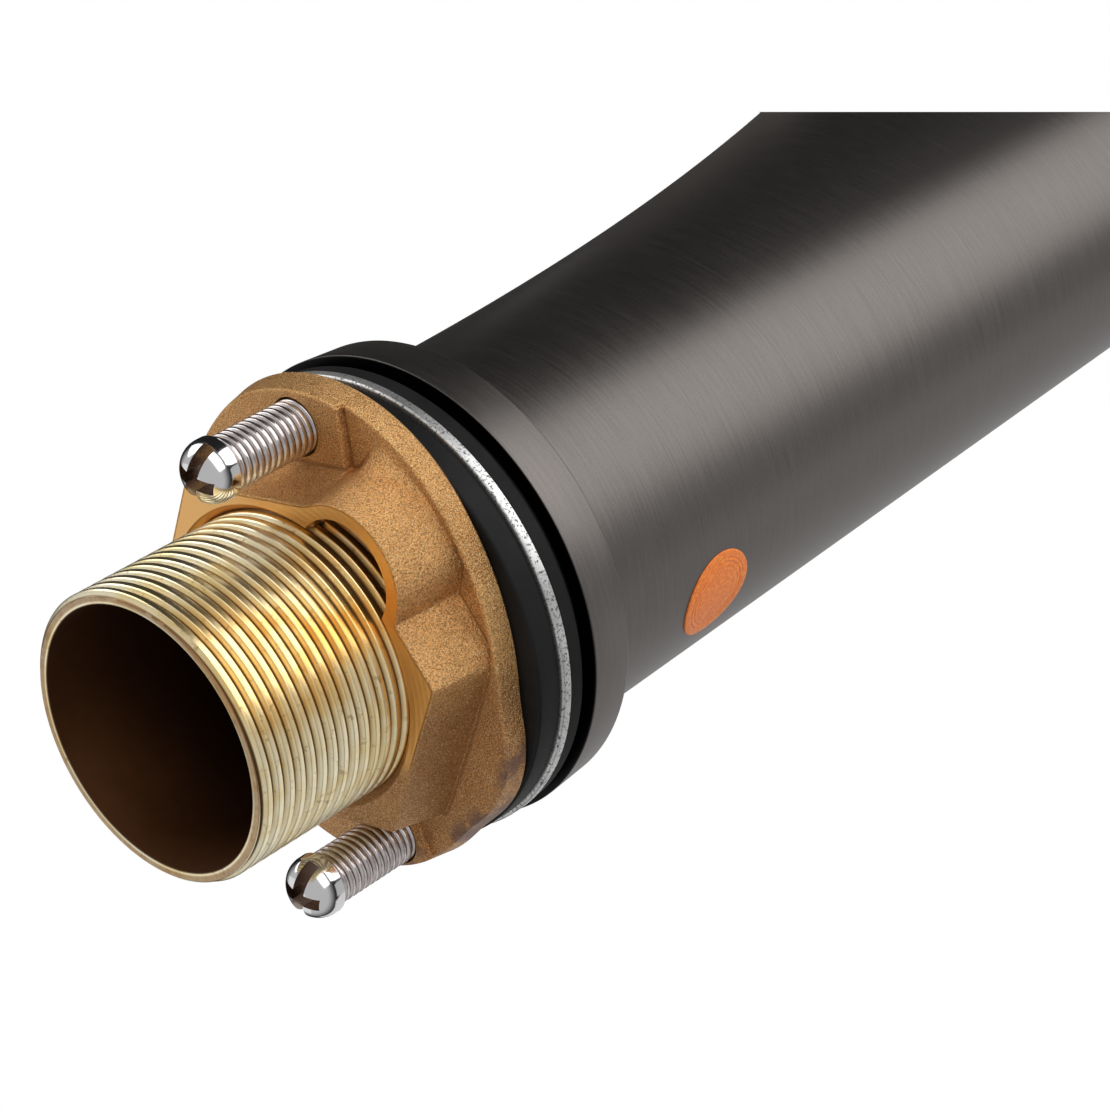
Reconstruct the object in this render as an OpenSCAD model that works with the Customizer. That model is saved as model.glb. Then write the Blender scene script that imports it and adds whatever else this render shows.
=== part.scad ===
// Single-lever basin mixer tap with a flared body, a curved spout and its under-basin fixing.
// The origin is on the body's axis at the level of the basin's top face. +Z is up and the
// spout points to -Y. Angles round the axis are measured from +X towards +Y.

/* [Body] */
// Diameter of the body where it meets the base ring
body_d = 44; // [42:0.5:47]
// Height of the body's flat top above the basin
body_h = 160; // [156:1:168]
// Inward lean of the body's back, in degrees from upright
back_taper = 1.9; // [1.5:0.1:2.1]
// Forward lean of the body's front just above the base ring, in degrees
front_lean = 1.95; // [1:0.05:2.5]
// Radius of the long curve up the body's front
front_r = 490; // [440:10:600]
// Height of that long curve above the base ring
flare_h = 88; // [84:1:90]
// Radius of the turn from the body's front into the spout's underside
turn_r = 27; // [25:1:29]
// Radius of the hollow for the hoses inside the body
hollow_r = 14; // [13:0.25:14.5]
// Height at which the inlet sockets open into that hollow
socket_z = 86; // [76:1:92]

/* [Spout] */
// Distance from the body's axis to the outlet's axis
reach = 106; // [96:1:116]
// Half of the spout's width at the outlet
tip_half_w = 15.2; // [14.8:0.1:16.5]
// Height of the spout's rim at the outlet, from underside to top
tip_h = 17; // [16:0.5:20]
// Drop of the spout's top line just in front of the body, below the body's top
crest_drop = 13; // [12:0.5:15]
// Radius of the waterway along the spout
waterway_r = 3.5; // [2.5:0.25:3.75]

/* [Base] */
// Diameter of the base ring at its underside
ring_d = 52.4; // [50:0.2:58]
// Taper of the base ring on its radius from underside to top
ring_taper = 0.45; // [0:0.05:1]
// Height of the base ring
ring_h = 5.8; // [5:0.1:8]
// How far the base seal stands below the ring
seal_proud = 1.2; // [0.6:0.1:1.6]
// Depth of the seal's groove in the ring
seal_groove = 1.4; // [1:0.1:2]
// Inner and outer radius of the base seal
seal_r_in = 21; // [20.5:0.1:21.5]
// Outer radius of the base seal
seal_r_out = 24.2; // [23:0.1:24.6]
// Radius of the body's spigot inside the ring
spigot_r = 19; // [18:0.1:19.6]

/* [Shank] */
// Outer diameter of the fixing thread
shank_d = 32; // [31:0.25:33]
// Bore of the threaded shank
shank_bore = 29; // [27:0.25:29.2]
// Length of shank below the basin's top face
shank_drop = 36; // [34:1:60]
// Length of shank screwed up into the body
shank_in = 21; // [12:1:30]
// Pitch of the shank's thread
shank_pitch = 1.5; // [1:0.25:2]
// Depth of the shank's thread
shank_thread = 0.62; // [0.3:0.02:0.8]

/* [Fixing] */
// Thickness of the rubber washer under the basin
rubber_t = 2.1; // [1:0.1:4]
// Thickness of the steel washer
steel_t = 1.2; // [0.8:0.1:2]
// Thickness of the black spacer ring on the nut
spacer_t = 3.2; // [2.4:0.1:5]
// Outer diameter of the steel washer
washer_d = 51.6; // [50:0.2:54]
// Long half axis of the nut's oval flange
flange_a = 27.8; // [27:0.1:29]
// Short half axis of the nut's oval flange
flange_b = 23; // [22:0.1:24]
// Radius of the oval's two ends
flange_end_r = 20; // [19:0.1:20.8]
// Radius of the bulge in the flange's outline beside one screw
bulge_r = 14; // [13:0.1:15]
// How far that bulge reaches from the nut's axis
bulge_reach = 25.3; // [24:0.1:25.6]
// Angle from the oval's long axis to that bulge
bulge_turn = 122.4; // [118:0.2:128]
// Thickness of the nut's flange
flange_t = 2.75; // [2.2:0.05:4]
// Extra thickness of the two pads that hold the jack screws
pad_t = 0.95; // [0.6:0.05:2]
// Whole height of the nut
nut_h = 9.8; // [8.5:0.1:14]
// Size of the nut's hexagon across its flats
nut_af = 36; // [35.4:0.1:37]
// Angle from the oval's long axis to the hexagon's first flat
hex_turn = -10; // [-15:1:-5]
// Angle of the nut's long axis round the shank
nut_turn = -14.4; // [-180:0.1:180]
// Distance of the relief bore's axis from the shank's axis
relief_at = 15.4; // [15:0.1:15.8]
// Radius of the relief bore beside the thread
relief_r = 6; // [5:0.1:6.2]
// Wall round the relief bore
relief_wall = 1.65; // [1.4:0.05:2]
// Angle from the nut's long axis to the relief bore
relief_turn = 34.4; // [30:0.2:40]
// Distance of the jack screws from the shank's axis
jack_at = 23.2; // [22.8:0.1:23.6]
// Angles of the two jack screws from the nut's long axis
jack_turns = [-7, 162];
// Half of the angle that each screw pad covers
pad_half_angle = 13; // [11:1:16]
// Thread diameter of the jack screws
jack_d = 6; // [5:0.1:6.4]
// Length of each jack screw's thread
jack_l = 14.2; // [11:0.2:20]
// Diameter of a jack screw's head
jack_head_d = 6.8; // [6.4:0.1:7]
// Height of a jack screw's head
jack_head_h = 3.9; // [3:0.1:5]

/* [Inlets] */
// Diameter of the inlet threads
inlet_d = 10; // [9:0.5:10.5]
// Depth of the inlet threads
inlet_depth = 10; // [8:0.5:12]
// Half of the distance between the two inlets
inlet_x = 6.6; // [6.2:0.1:7]
// Where the inlets sit from front to back, counted from the body's axis
inlet_y = -1.5; // [-2:0.1:-1]

/* [Cartridge] */
// Outer radius of the cartridge's housing
housing_r = 12.5; // [12.4:0.05:13]
// Wall of the housing round the discs
housing_wall = 1.1; // [0.9:0.05:1.2]
// Depth of the lever's pivot below the body's flat top
pivot_drop = 6.5; // [6:0.1:7]
// Length of the stem's lower arm from pivot to ball
arm_l = 10.6; // [10:0.1:11]
// Radius of the ball at the foot of the stem
ball_r = 2; // [1.8:0.05:2.2]
// Lift of the lever from shut to fully open, in degrees
lift = 25; // [18:1:26]
// Turn of the lever to each side, in degrees
side_turn = 45; // [30:1:60]
// Radius of the sliding ceramic disc
disc_r = 8.9; // [8.6:0.05:8.95]
// Thickness of the sliding ceramic disc
moving_t = 2.58; // [2.2:0.02:3]
// Thickness of the fixed ceramic disc
fixed_t = 2.8; // [2.4:0.1:3.4]
// Thickness of the rubber gasket under the fixed disc
gasket_t = 0.6; // [0.4:0.1:1]
// Thickness of the cartridge's base
foot_t = 3; // [2.4:0.1:4]
// Thickness of the carrier on the sliding disc
carrier_t = 4.1; // [3.8:0.1:4.6]
// Radius of the two inlet ports
port_r = 1.8; // [1.4:0.05:1.9]
// Distance of the inlet ports from the cartridge's axis
port_at = 4.5; // [4.4:0.05:4.7]
// Radius of the outlet port
outlet_r = 2.2; // [1.8:0.05:2.4]
// Distance of the outlet port from the cartridge's axis
outlet_at = 3.6; // [3.4:0.1:4]
// Radius of the mixing pocket in the sliding disc
pocket_r = 2.8; // [2.2:0.05:2.85]
// Radius of the thread on the cartridge's retaining nut
clamp_r = 14; // [13.8:0.1:14.4]

/* [Handle] */
// Radius of the ball-shaped cap under the handle
dome_r = 16.8; // [16.5:0.05:17]
// Wall of the ball-shaped cap
dome_wall = 1.2; // [1:0.05:1.4]
// Outer radius of the handle's hub
hub_r = 18.2; // [18:0.1:19]
// Height of the handle's hub top above the body's flat top
hub_top = 22.5; // [21:0.5:25]
// Length of the lever from the body's axis to its tip
lever_l = 92; // [70:1:110]
// Rise of the lever towards its tip, in degrees
lever_rise = 9; // [4:1:14]
// Width of the lever at its root
lever_w = 15; // [12:0.5:18]
// Width of the lever at its tip
lever_tip_w = 11; // [9:0.5:14]

/* [Outlet] */
// Outer diameter of the aerator's thread
aerator_d = 24; // [22:0.5:24.5]
// Length of the aerator's thread
aerator_l = 7.4; // [6:0.2:8]
// Diameter of the aerator's rim
aerator_rim_d = 26.8; // [26:0.2:27.6]
// Thickness of the aerator's rim
aerator_rim_t = 1.5; // [1:0.1:2.5]

/* [Marker] */
// Diameter of the round inspection sticker on the back of the body
sticker_d = 10.6; // [6:0.2:12]
// Height of the sticker's centre
sticker_z = 27.2; // [20:0.2:50]
// Thickness of the sticker
sticker_t = 0.2; // [0.1:0.05:0.4]

/* [Fits] */
// Radial gap between a thread or shaft and the bore that holds it
run_gap = 0.05; // [0.02:0.01:0.08]
// Gap between flat faces that slide on each other
film_gap = 0.02; // [0.01:0.01:0.05]
// Gap between shells that move past each other
shell_gap = 0.4; // [0.3:0.05:0.5]

/* [Hidden] */
$fn = 96;
eps = 0.01;

gunmetal = [0.27, 0.26, 0.25];
bronze = [0.72, 0.47, 0.24];
brass = [0.85, 0.72, 0.42];
steel = [0.72, 0.72, 0.74];
black = [0.07, 0.07, 0.07];
ceramic = [0.93, 0.91, 0.86];
white = [0.9, 0.9, 0.88];

// Levels of the base and of the fixing stack
body_r = body_d / 2;
ring_r = ring_d / 2;
ring_top = seal_proud + ring_h;
spigot_z = seal_proud + 0.4;
shank_r = shank_d / 2;
washer_r = washer_d / 2;
stack_bore = shank_r + 0.6;
steel_z = -rubber_t - steel_t;
spacer_z = steel_z - spacer_t;
nut_z = spacer_z - nut_h;
pad_z = spacer_z - flange_t - pad_t;
jack_r = jack_d / 2;
jack_hole_r = jack_r + run_gap;
jack_head_z = spacer_z - jack_l;

// Side arcs of the nut's oval, tangent to its end arcs
oval_end_x = flange_a - flange_end_r;
oval_side_r = (oval_end_x * oval_end_x + flange_b * flange_b - flange_end_r * flange_end_r)
    / (2 * (flange_b - flange_end_r));
oval_side_y = oval_side_r - flange_b;
oval_join_x = oval_end_x * (1 + flange_end_r / norm([oval_end_x, oval_side_y]));

// Cartridge levels, counted down from the pivot
half_lift = lift / 2;
pivot_z = body_h - pivot_drop;
disc_travel = 2 * arm_l * sin(half_lift);
rest_shift = disc_travel / 2;
foot_gap = 0.4;
carrier_z = pivot_z - arm_l - ball_r - foot_gap;
moving_z = carrier_z - moving_t;
fixed_z = moving_z - film_gap - fixed_t;
gasket_z = fixed_z - gasket_t;
seat_z = gasket_z - foot_t;
rotor_z = carrier_z + carrier_t + 0.3;
housing_in_r = housing_r - housing_wall;
rotor_r = housing_in_r - 0.1;
collar_r = housing_r - 0.9;
collar_in_r = collar_r - 1.1;
neck_rotor_r = collar_in_r - 0.1;
step_z = rotor_z + 4;
shoulder_z = step_z + 1.2;
collar_top = body_h - 2.5;
rotor_top = collar_top + 1.2;
rail_x = disc_r - 1.3;
port_x = port_at * sin(45);
port_y = -port_at * cos(45);
port_seal_w = 1.2;
port_seal_t = 1.2;
peg_at = 9.4;
peg_y = 3;
peg_r = 1.3;
peg_l = 2;
pin_r = 1.4;
bar_w = 6;
bar_rise = 19;
bar_top = body_h + bar_rise;
grub_z = body_h + 15.5;
grub_r = 2.5;
slot_w = bar_w + 0.6;
ball_y = arm_l * sin(half_lift);
ball_z = pivot_z - arm_l * cos(half_lift);

// Spout and outlet levels
front_slope = tan(front_lean) + flare_h / front_r;
front_angle = atan(front_slope);
flare_z = ring_top + flare_h;
flare_y = body_r + tan(front_lean) * flare_h + flare_h * flare_h / (2 * front_r);
under_z = flare_z + turn_r * (1 - sin(front_angle));
under_y = flare_y + turn_r * cos(front_angle);
aerator_r = aerator_d / 2;
aerator_gasket_t = 1.4;
aerator_seat_z = under_z - 0.9;
chamber_top = aerator_seat_z + aerator_l + aerator_gasket_t;
water_z = under_z + waterway_r + 2.4;
water_end_z = chamber_top + waterway_r - 0.4;
boss_r = aerator_rim_d / 2 + 0.5;
aerator_wall = 1.5;
insert_z = aerator_seat_z + film_gap;
insert_r = aerator_r - aerator_wall - run_gap;
insert_floor = 1.6;
insert_wall = 1.4;
hub_top_z = body_h + hub_top;

// Radius of the body's back at a height
function back_r(z) = body_r - tan(back_taper) * (z - ring_top);

// Point on the line from a to b, where t runs from 0 to 1
function between(a, b, t) = a + (b - a) * t;

// Point on the cubic curve through four control points
function curve(p, t) = pow(1 - t, 3) * p[0] + 3 * t * pow(1 - t, 2) * p[1]
    + 3 * t * t * (1 - t) * p[2] + t * t * t * p[3];

// Each section of the skin is [under point, centre, top point, half width, squareness].
// The points are [y, z]. Below the flare a section is level, then it tips forward.
skin_inset = 0.15;
column_steps = 10;
turn_steps = 12;
swing_steps = 8;
spout_steps = 5;
tip_steps = 6;
crest_depth = 22;
mid_z = body_h - crest_depth;

function column_section(t) =
    let (h = between(2, flare_h, t),
         z = ring_top + h,
         front = body_r + tan(front_lean) * h + h * h / (2 * front_r),
         back = back_r(z) - skin_inset)
    [[-front, z], [0, z], [back, z], back, 2];

function turn_section(t) =
    let (a = between(front_angle, 90, t),
         under = [-flare_y - turn_r * (cos(front_angle) - cos(a)),
                  flare_z + turn_r * (sin(a) - sin(front_angle))],
         mid = [0, between(flare_z, mid_z, t)],
         slope = (mid[1] - under[1]) / (mid[0] - under[0]),
         wide = back_r(mid[1]) - skin_inset,
         back = wide / (1 + tan(back_taper) * slope))
    [under, mid, [back, mid[1] + slope * back], wide, 2];

turn_end = turn_section(1);
swing_run = 9;
crest_y = -34;
swing_under = [-under_y - swing_run, under_z];
swing_top = [crest_y, body_h - crest_drop];
swing_path = [turn_end[2], [14, body_h - 4], [-12, body_h - 5], swing_top];
tip_under = [-reach, under_z];
tip_top = [-reach, under_z + tip_h];
start_share = norm(turn_end[1] - turn_end[0]) / norm(turn_end[2] - turn_end[0]);

function swing_section(t) =
    let (under = between(turn_end[0], swing_under, t),
         top = curve(swing_path, t),
         share = between(start_share, 0.55, t),
         width = between(turn_end[3], tip_half_w + 1.8, t))
    [under, between(under, top, share), top, width, between(2, 2.3, t)];

function spout_section(t) =
    let (under = between(swing_under, tip_under, t),
         top = between(swing_top, tip_top, t) + [0, 1.2 * sin(180 * t)],
         width = between(tip_half_w + 1.8, tip_half_w, t))
    [under, between(under, top, between(0.55, 0.5, t)), top, width, between(2.3, 2.8, t)];

function tip_section(a) =
    let (y = -reach - tip_half_w * sin(a),
         mid = under_z + tip_h / 2,
         half = tip_h / 2 * pow(cos(a), 0.45))
    [[y, mid - half], [y, mid], [y, mid + half], tip_half_w * cos(a), 2.8];

sections = concat(
    [for (i = [0 : column_steps]) column_section(i / column_steps)],
    [for (i = [1 : turn_steps]) turn_section(i / turn_steps)],
    [for (i = [1 : swing_steps]) swing_section(i / swing_steps)],
    [for (i = [1 : spout_steps]) spout_section(i / spout_steps)],
    [for (i = [1 : tip_steps]) tip_section(84 * i / tip_steps)]);

// A ring of points round one section
ring_points = 48;
function signed_power(v, e) = sign(v) * pow(abs(v), e);
function section_ring(s) =
    [for (i = [0 : ring_points - 1])
        let (a = 360 * i / ring_points,
             e = 2 / s[4],
             c = signed_power(cos(a), e),
             v = signed_power(sin(a), e),
             p = v > 0 ? between(s[1], s[2], v) : between(s[1], s[0], -v))
        [s[3] * c, p[0], p[1]]];

// Closed skin through a list of rings that all have the same number of points
module skin(rings) {
    n = len(rings[0]);
    m = len(rings);
    points = [for (r = rings) each r];
    sides = [for (j = [0 : m - 2], i = [0 : n - 1])
        let (k = (i + 1) % n)
        each [[j * n + i, (j + 1) * n + i, j * n + k],
              [j * n + k, (j + 1) * n + i, (j + 1) * n + k]]];
    first = [for (i = [1 : n - 2]) [0, i, i + 1]];
    last = [for (i = [1 : n - 2]) [(m - 1) * n, (m - 1) * n + i + 1, (m - 1) * n + i]];
    polyhedron(points = points, faces = concat(sides, first, last), convexity = 6);
}

module tube(r_out, r_in, h) {
    difference() {
        cylinder(r = r_out, h = h);
        translate([0, 0, -1])
            cylinder(r = r_in, h = h + 2);
    }
}

// Bore or pin at a point in the plan
module at(x, y, z, r, h) {
    translate([x, y, z])
        cylinder(r = r, h = h);
}

// Rod with ring-shaped thread crests, from z = 0 up
module threaded_rod(r, pitch, depth, length) {
    turns = floor(length / pitch);
    crest = 0.3 * pitch;
    lead = (length - turns * pitch) / 2;
    teeth = [for (i = [0 : turns - 1])
        let (z = lead + i * pitch)
        each [[r, z + pitch / 2 - crest], [r - depth, z + pitch / 2], [r, z + pitch / 2 + crest]]];
    rotate_extrude()
        polygon(concat([[0, 0], [r, 0]], teeth, [[r, length], [0, length]]));
}

// The three waterway holes of the cartridge
module ports(z, h, extra) {
    at(port_x, port_y, z, port_r + extra, h);
    at(-port_x, port_y, z, port_r + extra, h);
    at(0, outlet_at, z, outlet_r + extra, h);
}

// Rod or bore between two points in the plane x = const
module rod_yz(x, a, b, r) {
    run = b - a;
    translate([x, a[0], a[1]])
        rotate([atan2(-run[0], run[1]), 0, 0])
            cylinder(r = r, h = norm(run));
}

// Rod or bore between two points in the plane y = const
module rod_xz(y, a, b, r) {
    run = b - a;
    translate([a[0], y, a[1]])
        rotate([0, atan2(run[0], run[1]), 0])
            cylinder(r = r, h = norm(run));
}

// Inlet waterway on one side: up beside the spout's waterway, then inwards to its port
module inlet_way(side) {
    rise_x = 9.4;
    port_end = seat_z - 4.2;
    bend_z = port_end - (rise_x - port_x);
    at(side * rise_x, port_y, socket_z, port_r, bend_z + 2 * port_r - socket_z);
    rod_xz(port_y, [side * rise_x, bend_z + port_r], [side * port_x, port_end + port_r], port_r - 0.1);
    at(side * port_x, port_y, port_end, port_r, seat_z - port_end + 1);
}

module column(grow = 0) {
    soft = 0.6;
    rotate_extrude()
        polygon([[0, ring_top], [body_r + grow, ring_top],
            [back_r(body_h - soft) + grow, body_h - soft],
            [back_r(body_h) - soft + grow, body_h], [0, body_h]]);
}

module body_outside() {
    skin([for (s = sections) section_ring(s)]);
    column();
    at(0, 0, spigot_z, spigot_r, ring_top - spigot_z + 1);
    at(0, -reach, aerator_seat_z, boss_r, chamber_top - aerator_seat_z + 1);
}

module body() {
    shank_top = shank_in;
    color(gunmetal)
        difference() {
            body_outside();
            at(0, 0, spigot_z - 1, shank_r + run_gap, shank_top - spigot_z + 1 + film_gap);
            at(0, 0, spigot_z, hollow_r, socket_z - spigot_z);
            for (side = [-1, 1]) {
                at(side * inlet_x, inlet_y, socket_z - 1, inlet_d / 2, inlet_depth + 1);
                inlet_way(side);
            }
            at(0, outlet_at, water_z, outlet_r, seat_z - water_z + 1);
            rod_yz(0, [outlet_at + outlet_r, water_z], [-reach, water_end_z], waterway_r);
            at(0, -reach, aerator_seat_z - 1, aerator_r + run_gap, chamber_top - aerator_seat_z + 1);
            at(0, 0, seat_z, housing_r + run_gap, body_h - seat_z + 1);
            at(0, 0, shoulder_z - 0.3, clamp_r + run_gap, body_h - shoulder_z + 1.3);
            for (side = [-1, 1])
                at(side * peg_at, peg_y, seat_z - peg_l - 0.3, peg_r + run_gap, peg_l + 1);
        }
}

module base_ring() {
    soft = 0.5;
    color(gunmetal)
        difference() {
            rotate_extrude()
                polygon([[spigot_r + run_gap, seal_proud], [ring_r - soft, seal_proud],
                    [ring_r, seal_proud + soft], [ring_r - ring_taper, ring_top - soft],
                    [ring_r - ring_taper - soft, ring_top], [spigot_r + run_gap, ring_top]]);
            translate([0, 0, seal_proud - 1])
                tube(seal_r_out, seal_r_in, seal_groove + 1);
        }
}

module base_seal() {
    color(black)
        tube(seal_r_out, seal_r_in, seal_proud + seal_groove);
}

module shank() {
    color(brass)
        translate([0, 0, -shank_drop])
            difference() {
                threaded_rod(shank_r, shank_pitch, shank_thread, shank_drop + shank_in);
                translate([0, 0, -1])
                    cylinder(d = shank_bore, h = shank_drop + shank_in + 2);
            }
}

module rubber_washer() {
    color(black)
        translate([0, 0, -rubber_t])
            tube(washer_r - 0.2, stack_bore, rubber_t);
}

module steel_washer() {
    color(steel)
        translate([0, 0, steel_z])
            tube(washer_r, stack_bore, steel_t);
}

// Everything on the nut is placed at the nut's own angle round the shank
module on_nut(turn = 0) {
    rotate([0, 0, nut_turn + turn])
        children();
}

module spacer_ring() {
    color(black)
        difference() {
            translate([0, 0, spacer_z])
                tube(washer_r - 0.4, stack_bore, spacer_t);
            for (turn = jack_turns)
                on_nut(turn)
                    at(jack_at, 0, spacer_z - 1, jack_r + shell_gap, spacer_t + 2);
        }
}

// Oval outline made of four arcs, with the bulge beside one screw
module oval_plan() {
    intersection() {
        translate([0, -oval_side_y])
            circle(r = oval_side_r);
        translate([0, oval_side_y])
            circle(r = oval_side_r);
        translate([-oval_join_x, -flange_b])
            square([2 * oval_join_x, 2 * flange_b]);
    }
    translate([oval_end_x, 0])
        circle(r = flange_end_r);
    translate([-oval_end_x, 0])
        circle(r = flange_end_r);
    rotate(bulge_turn)
        translate([bulge_reach - bulge_r, 0])
            circle(r = bulge_r);
}

// Sector of the flange that a screw pad covers
module pad_plan(turn) {
    far = flange_a + 2;
    spread = far * tan(pad_half_angle);
    rotate(turn)
        polygon([[0, 0], [far, -spread], [far, spread]]);
}

// Hexagon with the wall of the relief bore beside it
module hub_plan() {
    rotate(hex_turn + 30)
        circle(r = nut_af / 2 / cos(30), $fn = 6);
    rotate(relief_turn)
        translate([relief_at, 0])
            circle(r = relief_r + relief_wall);
}

module flange_nut() {
    foot_h = 2.4;
    color(bronze)
        on_nut()
            difference() {
                union() {
                    translate([0, 0, spacer_z - flange_t])
                        linear_extrude(flange_t)
                            oval_plan();
                    translate([0, 0, pad_z])
                        linear_extrude(pad_t + 1)
                            intersection() {
                                oval_plan();
                                union() {
                                    pad_plan(jack_turns[0]);
                                    pad_plan(jack_turns[1]);
                                }
                            }
                    translate([0, 0, nut_z])
                        linear_extrude(nut_h - 1)
                            hub_plan();
                    rotate([0, 0, relief_turn])
                        translate([relief_at, 0, spacer_z - flange_t - foot_h + 0.4])
                            cylinder(r1 = relief_r + relief_wall - 0.2,
                                r2 = relief_r + relief_wall + foot_h - 0.2, h = foot_h);
                }
                at(0, 0, nut_z - 1, shank_r + run_gap, nut_h + 2);
                translate([0, 0, nut_z - 1])
                    cylinder(r1 = shank_r + run_gap + 1.85, r2 = shank_r + run_gap, h = 1.85);
                rotate([0, 0, relief_turn])
                    at(relief_at, 0, nut_z - 1, relief_r, nut_h + 2);
                for (turn = jack_turns)
                    rotate([0, 0, turn])
                        at(jack_at, 0, pad_z - 1, jack_hole_r, flange_t + pad_t + 2);
            }
}

module jack_screw(turn) {
    head_r = jack_head_d / 2;
    crown_r = head_r * 1.12;
    slot = 1.5;
    slot_depth = 1.9;
    cross = 1.3;
    color(steel)
        on_nut(turn)
            translate([jack_at, 0, jack_head_z]) {
                threaded_rod(jack_r, 1, 0.45, jack_l);
                translate([0, 0, -jack_head_h])
                    difference() {
                        intersection() {
                            cylinder(r = head_r, h = jack_head_h);
                            translate([0, 0, crown_r])
                                sphere(r = crown_r);
                        }
                        translate([-slot / 2, -jack_head_d, -1])
                            cube([slot, 2 * jack_head_d, slot_depth + 1]);
                        translate([-head_r * 0.62, -cross / 2, -1])
                            cube([head_r * 1.24, cross, slot_depth + 1.6]);
                    }
                translate([0, 0, -jack_head_h + crown_r])
                    cylinder(r = head_r, h = jack_head_h - crown_r + eps);
            }
}

module jack_screw_1() {
    jack_screw(jack_turns[0]);
}

module jack_screw_2() {
    jack_screw(jack_turns[1]);
}

module cartridge_foot() {
    color(black) {
        difference() {
            at(0, 0, seat_z, housing_in_r - 0.1, foot_t);
            ports(seat_z - 1, foot_t + 2, 0);
            ports(seat_z - 1, port_seal_t + 1, port_seal_w);
        }
        for (side = [-1, 1])
            at(side * peg_at, peg_y, seat_z - peg_l, peg_r, peg_l + 0.2);
    }
}

module port_seals() {
    color(black)
        difference() {
            ports(seat_z, port_seal_t, port_seal_w - film_gap);
            ports(seat_z - 1, port_seal_t + 2, 0);
        }
}

module disc_gasket() {
    color(black)
        difference() {
            at(0, 0, gasket_z, housing_in_r - 0.1, gasket_t);
            ports(gasket_z - 1, gasket_t + 2, 0.3);
        }
}

module fixed_disc() {
    color(ceramic)
        difference() {
            at(0, 0, fixed_z, housing_in_r - 0.1, fixed_t);
            ports(fixed_z - 1, fixed_t + 2, 0);
        }
}

module cartridge_housing() {
    color(white)
        difference() {
            union() {
                at(0, 0, seat_z, housing_r, shoulder_z - seat_z);
                at(0, 0, shoulder_z - 1, collar_r, collar_top - shoulder_z + 1);
            }
            at(0, 0, seat_z - 1, housing_in_r, step_z - seat_z + 1);
            at(0, 0, step_z - 1, collar_in_r, collar_top - step_z + 2);
        }
}

// Round disc with two flats, at the place that the shut lever gives it
module sliding_round(z, t) {
    intersection() {
        at(0, rest_shift, z, disc_r, t);
        translate([-rail_x, -disc_r, z - 1])
            cube([2 * rail_x, 3 * disc_r, t + 2]);
    }
}

module sliding_disc() {
    pocket_depth = 1.6;
    pocket_front = 0.7;
    pocket_back = 3.2;
    color(ceramic)
        difference() {
            sliding_round(moving_z, moving_t);
            at(0, rest_shift + pocket_front, moving_z - 1, pocket_r, pocket_depth + 1);
            at(0, rest_shift + pocket_back, moving_z - 1, pocket_r, pocket_depth + 1);
            translate([-pocket_r, rest_shift + pocket_front, moving_z - 1])
                cube([2 * pocket_r, pocket_back - pocket_front, pocket_depth + 1]);
        }
}

module disc_carrier() {
    color(white)
        difference() {
            sliding_round(carrier_z, carrier_t);
            at(0, rest_shift, carrier_z - 1, ball_r + 0.15, carrier_t + 2);
        }
}

module rotor() {
    color(white)
        difference() {
            union() {
                at(0, 0, rotor_z, rotor_r, step_z - 0.1 - rotor_z);
                at(0, 0, step_z - 1, neck_rotor_r, rotor_top - step_z + 1);
                difference() {
                    at(0, 0, moving_z + 0.3, rotor_r, rotor_z - moving_z);
                    translate([-rail_x - 0.1, -housing_r, moving_z - 1])
                        cube([2 * rail_x + 0.2, 2 * housing_r, rotor_z - moving_z + 1]);
                }
            }
            translate([-slot_w / 2, -6.6, moving_z - 1])
                cube([slot_w, 13.2, rotor_top - moving_z + 2]);
            translate([-neck_rotor_r, 0, pivot_z])
                rotate([0, 90, 0])
                    cylinder(r = pin_r, h = 2 * neck_rotor_r);
        }
}

module pivot_pin() {
    pin_half = neck_rotor_r - 0.6;
    color(steel)
        translate([-pin_half, 0, pivot_z])
            rotate([0, 90, 0])
                cylinder(r = pin_r, h = 2 * pin_half);
}

module stem() {
    eye_r = 3.3;
    arm_r = 1.6;
    color(steel)
        difference() {
            union() {
                translate([-bar_w / 2, -bar_w / 2, pivot_z])
                    cube([bar_w, bar_w, bar_top - pivot_z]);
                translate([-bar_w / 2, 0, pivot_z])
                    rotate([0, 90, 0])
                        cylinder(r = eye_r, h = bar_w);
                translate([0, 0, pivot_z])
                    rotate([180 + half_lift, 0, 0])
                        cylinder(r = arm_r, h = arm_l);
                translate([0, ball_y, ball_z])
                    sphere(r = ball_r);
            }
            translate([-bar_w, 0, pivot_z])
                rotate([0, 90, 0])
                    cylinder(r = pin_r + run_gap, h = 2 * bar_w);
        }
}

module retaining_nut() {
    collar_h = 2;
    upper_r = clamp_r - 1.1;
    color(brass)
        difference() {
            union() {
                at(0, 0, shoulder_z, clamp_r, body_h - shoulder_z);
                at(0, 0, body_h - 1, upper_r, collar_h + 1);
            }
            at(0, 0, shoulder_z - 1, collar_r + run_gap, body_h + collar_h - shoulder_z + 2);
            for (a = [0 : 90 : 270])
                rotate([0, 0, a + 45])
                    translate([collar_r - 1, -1.25, body_h + collar_h - 1.6])
                        cube([3, 2.5, 3]);
        }
}

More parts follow.
